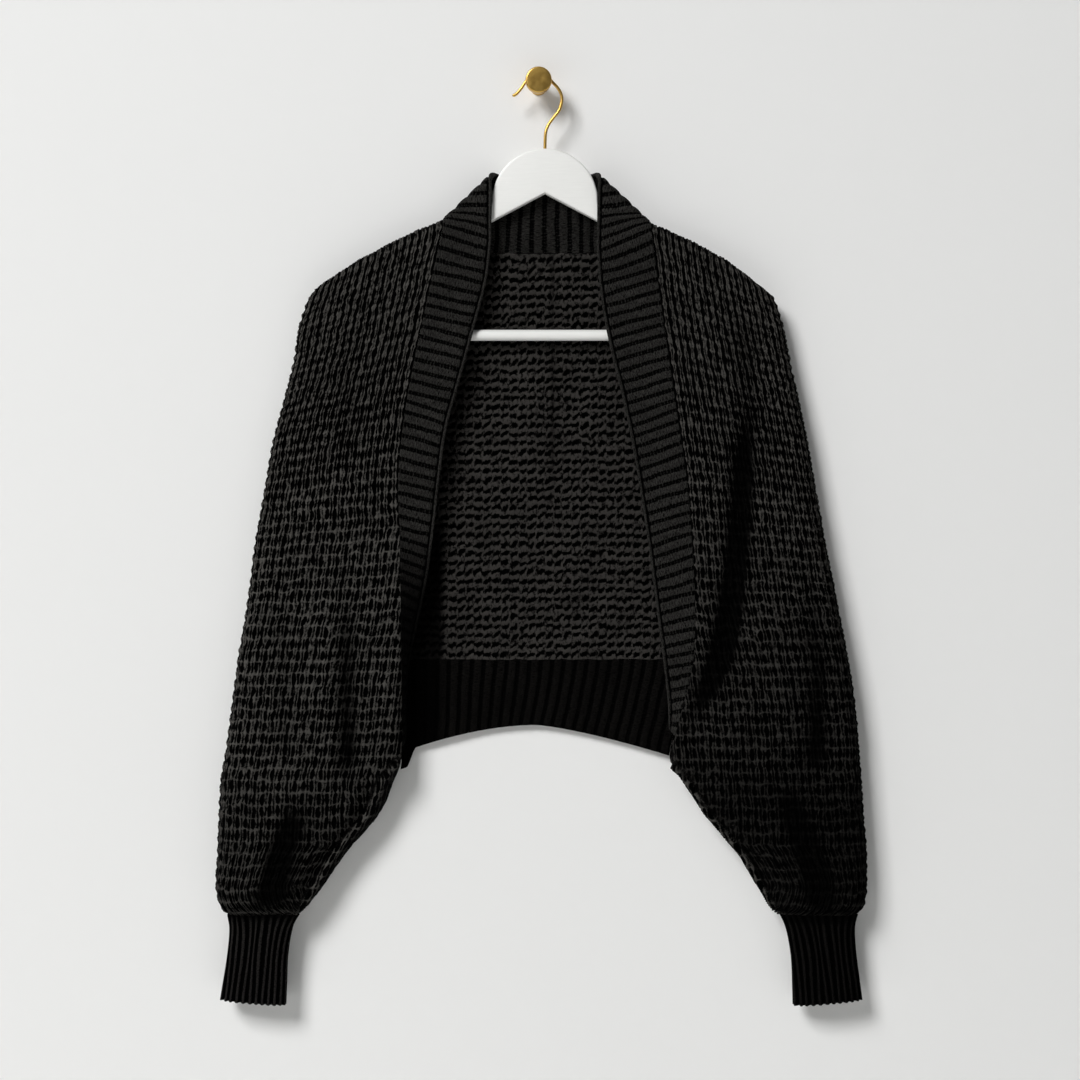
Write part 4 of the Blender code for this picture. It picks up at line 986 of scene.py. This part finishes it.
def band_half(side):
    """Outer points of half the band, evenly spaced along its free edge, and the steps to its inner
    face at the seam. A point across is a straight blend from the free edge to the panels' edge."""
    table = [(*unfold(side, np.array([x, drop]), False), depth, key)
             for x, drop, depth, key in EDGE[side]]
    start = np.array(EDGE[side][-1][:2])
    tip = np.array(NECK_TIP[side])
    for share, key in SHOULDER_SHARES:
        table.append((*unfold(side, start + (tip - start) * share, False), EDGE[side][-1][2], key))
    for share, key in NECK_SHARES:
        x = tip[0] + (HANGER_X - tip[0]) * share
        drop = tip[1] + (NECK_EDGE_DROP - tip[1]) * math.sin(math.pi / 2 * share)
        table.append((*unfold(side, np.array([x, drop]), True), NECK_DEPTH, key))
    fine = np.linspace(0, len(table) - 1, 80 * len(table))
    edge = smooth_rows(table, fine)[:, :2]
    length = np.concatenate([[0], np.cumsum(np.linalg.norm(np.diff(edge, axis=0), axis=1))])
    ribs = round(length[-1] / RIB_PITCH)
    at = np.interp(np.linspace(0, length[-1], POINTS_PER_RIB * ribs + 1), length, fine)
    edge_x, edge_drop, edge_depth, key = smooth_rows(table, at).T
    behind = key < -1
    row = np.where(behind, np.minimum(-2 - key, 0.0), key)
    across = np.where(behind, np.minimum(key + 2, 0.0), 0.0)

    def panel_edge(at_row, below):
        """The edge that the band is sewn to: the back's past the ridge, and else the front's."""
        return np.where(behind[:, None], panel_points(side, 1, across, at_row, below, False),
                        panel_points(side, -1, 0 * across, at_row, below, False))

    seam = panel_edge(row, 0.0)
    seam_depth = abs(panel_edge(np.maximum(row, 0), 0.0)[:, 1] - MIDDLE_Y)
    outward = -1 if side == "left" else 1
    flat_seam = np.stack([seam[:, 0] - outward * 0.4 * np.clip((key + 2.1) / 0.1, 0, 1),
                          -seam[:, 2] - 0.4 * np.clip((-key - 1.8) / 0.2, 0, 1)], -1)
    flat_seam = unfold(side, flat_seam, behind)
    share = BAND_SHARES[None, :, None]
    flat = np.stack([edge_x, edge_drop], -1)[:, None] * (1 - share) + flat_seam[:, None] * share
    depth = edge_depth[:, None] + (seam_depth - edge_depth)[:, None] * share[..., 0]
    return fold(side, flat, depth), (panel_edge(row, CLOTH) - seam) * BAND_CLOTH / CLOTH


def rib_height(phase):
    """A broad rounded rib, 1 - |2 t - 1|^2.6, and a narrow groove, which lies at whole numbers."""
    return 1 - folded(phase) ** 2.6


def rib_pattern(tree, rib, across):
    """Broad ribs with a soft groove between them, in which a thin rib shows and the stitches are
    dots, and fine slanting stitches over the rib, 3.3 mm apart. A dark line of painted shade runs
    in the groove inside the roll."""
    edge = fold_of(tree, rib)
    rungs = fold_of(tree, add_node(tree, "Math", [across, 1 / 3.3], operation="MULTIPLY"))
    groove = product_of(tree, [edge, 0.52, 0.82], [rungs, 0.35, 0.85, 0.62, 0.36], [across, 2.2, 4.0])
    thin = add_node(tree, "MapRange", [edge, 0.86, 0.98, 0.0, 0.2], interpolation_type="SMOOTHSTEP")
    lean = add_node(tree, "Math", [edge, 0.9, rungs], operation="MULTIPLY_ADD")
    stitch = add_node(tree, "MapRange", [fold_of(tree, lean), 0.5, 1.0, 0.0, 0.16],
                      interpolation_type="SMOOTHSTEP")
    inside = add_node(tree, "Math", [across, 3.6], operation="SUBTRACT")
    inside = add_node(tree, "Math", [inside], operation="ABSOLUTE")
    roll = add_node(tree, "MapRange", [inside, 0.4, 1.3, 0.45, 0.0], interpolation_type="SMOOTHSTEP")
    height = add_node(tree, "Math", [0.62, groove], operation="SUBTRACT")
    for part, sign in ((thin, "ADD"), (stitch, "SUBTRACT"), (roll, "SUBTRACT")):
        height = add_node(tree, "Math", [height, part], operation=sign)
    return height


# The same black yarn in a firm rib: its broad ribs read a little smoother and lighter
rib_knit = yarn_material("black_rib_knit", rib_pattern, lit="#353432", fuzz=0.6,
                         wander=(0.26, 1.6), cut_in=0.22, unlike=1.55)

left_half, left_steps = band_half("left")
right_half, right_steps = band_half("right")
band_base = np.concatenate([left_half, right_half[-2::-1]])
band_steps = np.concatenate([left_steps, right_steps[-2::-1]])
phase = np.arange(len(band_base)) / POINTS_PER_RIB
normal = surface_normals(band_base)
width = np.linalg.norm(band_base[:, -1] - band_base[:, 0], axis=1)[:, None]
across = BAND_SHARES[None, :] * width
lean = np.interp(phase / phase[-1], *RIB_LEAN)[:, None]
phase = phase[:, None]
rib = phase + lean * (across - 25.0) / RIB_PITCH + soft_noise(across / 22.0, phase * 0.9, 41) * 0.09
ribbed = rib_height(rib)
# The rolled free edge with a groove inside it, and the chain of stitches along the seam
bead = 1.3 * mound(across - 1.3, 1.2) - 1.2 * mound(across - 3.8, 1.1)
chain = 0.8 * mound(width - across - 1.6, 1.2)
inside = ease((across - 3.2) / 2.0) * ease((width - across - 2.6) / 2.0)
lift = (ribbed - 0.5) * RIB_DEPTH * inside + bead + chain
lift = lift + 0.35 * soft_noise(across / 14.0, phase * 0.35, 43)
from_end = np.arange(len(phase))
end_fade = ease(np.minimum(from_end, from_end[::-1]) / POINTS_PER_RIB)[:, None]
outer = band_base + normal * (lift * end_fade)[..., None]
inner = band_base - normal * BAND_CLOTH
inner = inner + normal * ((1 - ribbed) * RIB_BACK_DEPTH * inside * end_fade)[..., None]
inner[:, -1] = band_base[:, -1] + band_steps
band_uv = np.stack([rib, across], -1)
leftward, drop = -band_base[..., 0], -band_base[..., 2]
# Painted shade where the band's lower left end turns under, and an even painted shade inside
turned_end_painted_shade = TURNED_SHADE * ease((leftward - 60.0) / 40.0) * ease((drop - 425.0) / 110.0)
band = cloth_shell("shawl_band", outer, inner, band_uv, (turned_end_painted_shade, BAND_BACK_SHADE),
                   [rib_knit, rib_knit])
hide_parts("band")

# Back hem
# A strip of the same rib with its ribs upright, between the lower ends of the band. Its lower edge
# rises to the middle, and a short tab hangs at its left end.
HEM_END_ROW = 10
HEM_RIBS = 25
HEM_ARCH = 29.0
HEM_ARCH_POWER = {"left": 1.75, "right": 1.35}
HEM_TAB_DROP = 18.0
HEM_TAB_WIDTH = 12.5
HEM_TAB_SLOPE = 6.0
HEM_TAB_LEAN = 3.0
HEM_HEIGHT = 97.0
HEM_PAST_ROLL = 8.0
SEAM_GAP = 0.3
hem_across = np.linspace(0, 1, HEM_RIBS * POINTS_PER_RIB + 1)[None, :]
hem_row = np.linspace(HEM_ROW, HEM_END_ROW, 45)[:, None]
left_line = panel_points("left", 1, 0.0, hem_row, 0.0, False)
right_line = panel_points("right", 1, 0.0, hem_row, 0.0, False)
start_x = left_line[..., 0] + SEAM_GAP
x = start_x + (right_line[..., 0] - SEAM_GAP - start_x) * hem_across
end_drop = -left_line[..., 2] - (right_line[..., 2] - left_line[..., 2]) * hem_across
down = (hem_row - HEM_ROW) / (HEM_END_ROW - HEM_ROW)
power = np.where(hem_across < 0.5, HEM_ARCH_POWER["left"], HEM_ARCH_POWER["right"])
rise = HEM_ARCH * (1 - abs(2 * hem_across - 1) ** power)
tab_share = ease((HEM_TAB_WIDTH - (x - start_x)) / HEM_TAB_SLOPE)
x = x - HEM_TAB_LEAN * tab_share * down**2
drop = end_drop + (HEM_TAB_DROP * tab_share - rise) * down + SEAM_GAP * (1 - down)
rib = hem_across * HEM_RIBS + 0.06 * soft_noise(hem_across * 9, down * 3, 47)
ribbed = rib_height(rib)
hang = 1.2 * soft_noise(hem_across * 6, down * 1.4, 53) * ease(down / 0.2)
face = left_line[0, 0, 1] + hang
outer = np.stack([x, face + (ribbed - 0.35) * 1.5, -drop], axis=-1)
inner = np.stack([x, face - BAND_CLOTH + (1 - ribbed) * 1.5, -drop], axis=-1)
# The rib's coordinate across starts past the band's rolled edge, which the hem doesn't have
hem_uv = np.stack(np.broadcast_arrays(rib, HEM_PAST_ROLL + down * HEM_HEIGHT), -1)
# The inner side of the rib, turned to the front here, is painted the darkest of the cloth, as painted
# shade
hem_knit_painted_shade = yarn_material("black_rib_knit_inside_painted_shade", rib_pattern, lit="#131211", fuzz=0.6,
                         wander=(0.16, 1.2), cut_in=0.22, unlike=1.3)
# Painted shadow over the hem's left end, beside the band's turned end
left_shade = BEHIND_END_SHADE * (1 - ease((x + 108.0) / 18.0))
hem = cloth_shell("back_hem_rib", outer, inner, hem_uv, (0.0, left_shade),
                  [rib_knit, hem_knit_painted_shade])
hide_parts("back_hem")

# Cuffs
# Two tubes of narrower rib, drawn in where the sleeve is gathered into them and flaring a little
# at the wrist. Their ribs lean as they hang.
CUFF_CLOTH = 3.2
CUFF_RIBS = 24
CUFF_SQUARENESS = 2.6
CUFF_LENGTH = 90.0
CUFF_LEAN = 0.55
CUFF_RIB_DEPTH = 1.9
# Painted shade on the cuffs: more on the right cuff, under the gathered sleeve, and inside
CUFF_SHADE = {"left": 0.1, "right": 0.7}
GATHER_SHADE = 0.85
DEEPEST_CUFF_SHADE = 0.92
CUFF_INSIDE_SHADE = 0.6
CUFF_COLUMNS = ("drop_out", "drop_in", "x_out", "x_in", "half_depth")
CUFFS = {
    "left": [
        (835, 835, -311, -241, 13), (850, 850, -309, -247.6, 12.5),
        (875, 876, -311.4, -251.8, 12.5), (900, 903, -315.2, -253, 13),
        (920, 925.5, -318.6, -254.2, 13.5),
    ],
    "right": [
        (835, 835, 319, 243, 13), (850, 850, 316.6, 249, 12.5),
        (875, 876, 318, 253.6, 12.5), (900, 902, 321.4, 255.2, 13),
        (920, 926, 323.8, 256.2, 13.5),
    ],
}


def cuff_pattern(tree, rib, across):
    """Narrow upright ribs with a wide deep gap between them, crossed by faint rungs 2.6 mm apart."""
    rungs = fold_of(tree, add_node(tree, "Math", [across, 1 / 2.6], operation="MULTIPLY"))
    gap = product_of(tree, [fold_of(tree, rib), 0.26, 0.64], [rungs, 0.5, 0.9, 0.82, 0.68])
    return add_node(tree, "Math", [0.82, gap], operation="SUBTRACT")


# The same black yarn in a narrow rib, painted darker, with its deep gaps painted blacker, as painted
# shade
cuff_knit = yarn_material("black_cuff_rib_knit", cuff_pattern, lit="#2a2827", fuzz=0.6,
                          wander=(0.3, 1.2), cut_in=0.40, unlike=1.3)
for side, table in CUFFS.items():
    level = np.linspace(0, len(table) - 1, 44)
    drop_out, drop_in, x_out, x_in, half_depth = (v[:, None] for v in smooth_rows(table, level).T)
    turn = np.linspace(0, 2 * math.pi, 721)[None, :]
    cosine, sine = np.cos(turn), np.sin(turn)
    half_width = abs(x_out - x_in) / 2
    x = (x_out + x_in) / 2 + half_width * np.sign(cosine) * abs(cosine) ** (2 / CUFF_SQUARENESS)
    y = MIDDLE_Y + half_depth * np.sign(sine) * abs(sine) ** (2 / CUFF_SQUARENESS)
    length = way_along(x, y, 1)
    places = np.linspace(0, 1, CUFF_RIBS * POINTS_PER_RIB + 1)[:-1]
    ring_x, ring_y = (
        np.array([np.interp(places * way[-1], way, line) for way, line in zip(length, lines)])
        for lines in (x, y))
    ahead_x, ahead_y = (np.roll(line, -1, 1) - np.roll(line, 1, 1) for line in (ring_x, ring_y))
    out = np.stack([ahead_y, -ahead_x], -1)
    out /= np.linalg.norm(out, axis=-1)[..., None]
    down = level[:, None] / level[-1]
    places = places[None, :]
    lean = CUFF_LEAN * (down - 0.4) * np.sin(2 * math.pi * places + 0.6)
    lean = lean + 0.22 * soft_noise(places * 16, down * 2.2, 61)
    rib = places * CUFF_RIBS + lean
    crest = 1 - ease((folded(rib) - 0.25) / 0.55)
    gathered = 1 + 0.5 * ease(1 - down / 0.25)
    swell = 0.7 * soft_noise(places * 9, down * 1.7, 67) * ease(down / 0.15)
    rise = (crest - 0.45) * CUFF_RIB_DEPTH * gathered + swell
    drop = drop_out + (drop_in - drop_out) * (ring_x - x_out) / (x_in - x_out)
    drop = drop + 0.9 * (crest - 0.5) * ease((down - 0.9) / 0.1)
    outer = np.dstack([ring_x + out[..., 0] * rise, ring_y + out[..., 1] * rise, -drop])
    back = CUFF_CLOTH - 0.6 * (1 - crest)
    inner = np.dstack([ring_x - out[..., 0] * back, ring_y - out[..., 1] * back, -drop])
    cuff_uv = np.stack(np.broadcast_arrays(rib, down * CUFF_LENGTH), -1)
    # Painted shade under the gathered sleeve and over the whole right cuff
    shade = np.clip(GATHER_SHADE * (1 - ease(down / 0.2)) + CUFF_SHADE[side], 0, DEEPEST_CUFF_SHADE)
    cuff = cloth_shell(f"cuff_{side}_rib", outer, inner, cuff_uv, (shade, CUFF_INSIDE_SHADE),
                       [cuff_knit, cuff_knit], wrap=True)
    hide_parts(f"cuff_{side}")

low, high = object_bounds()
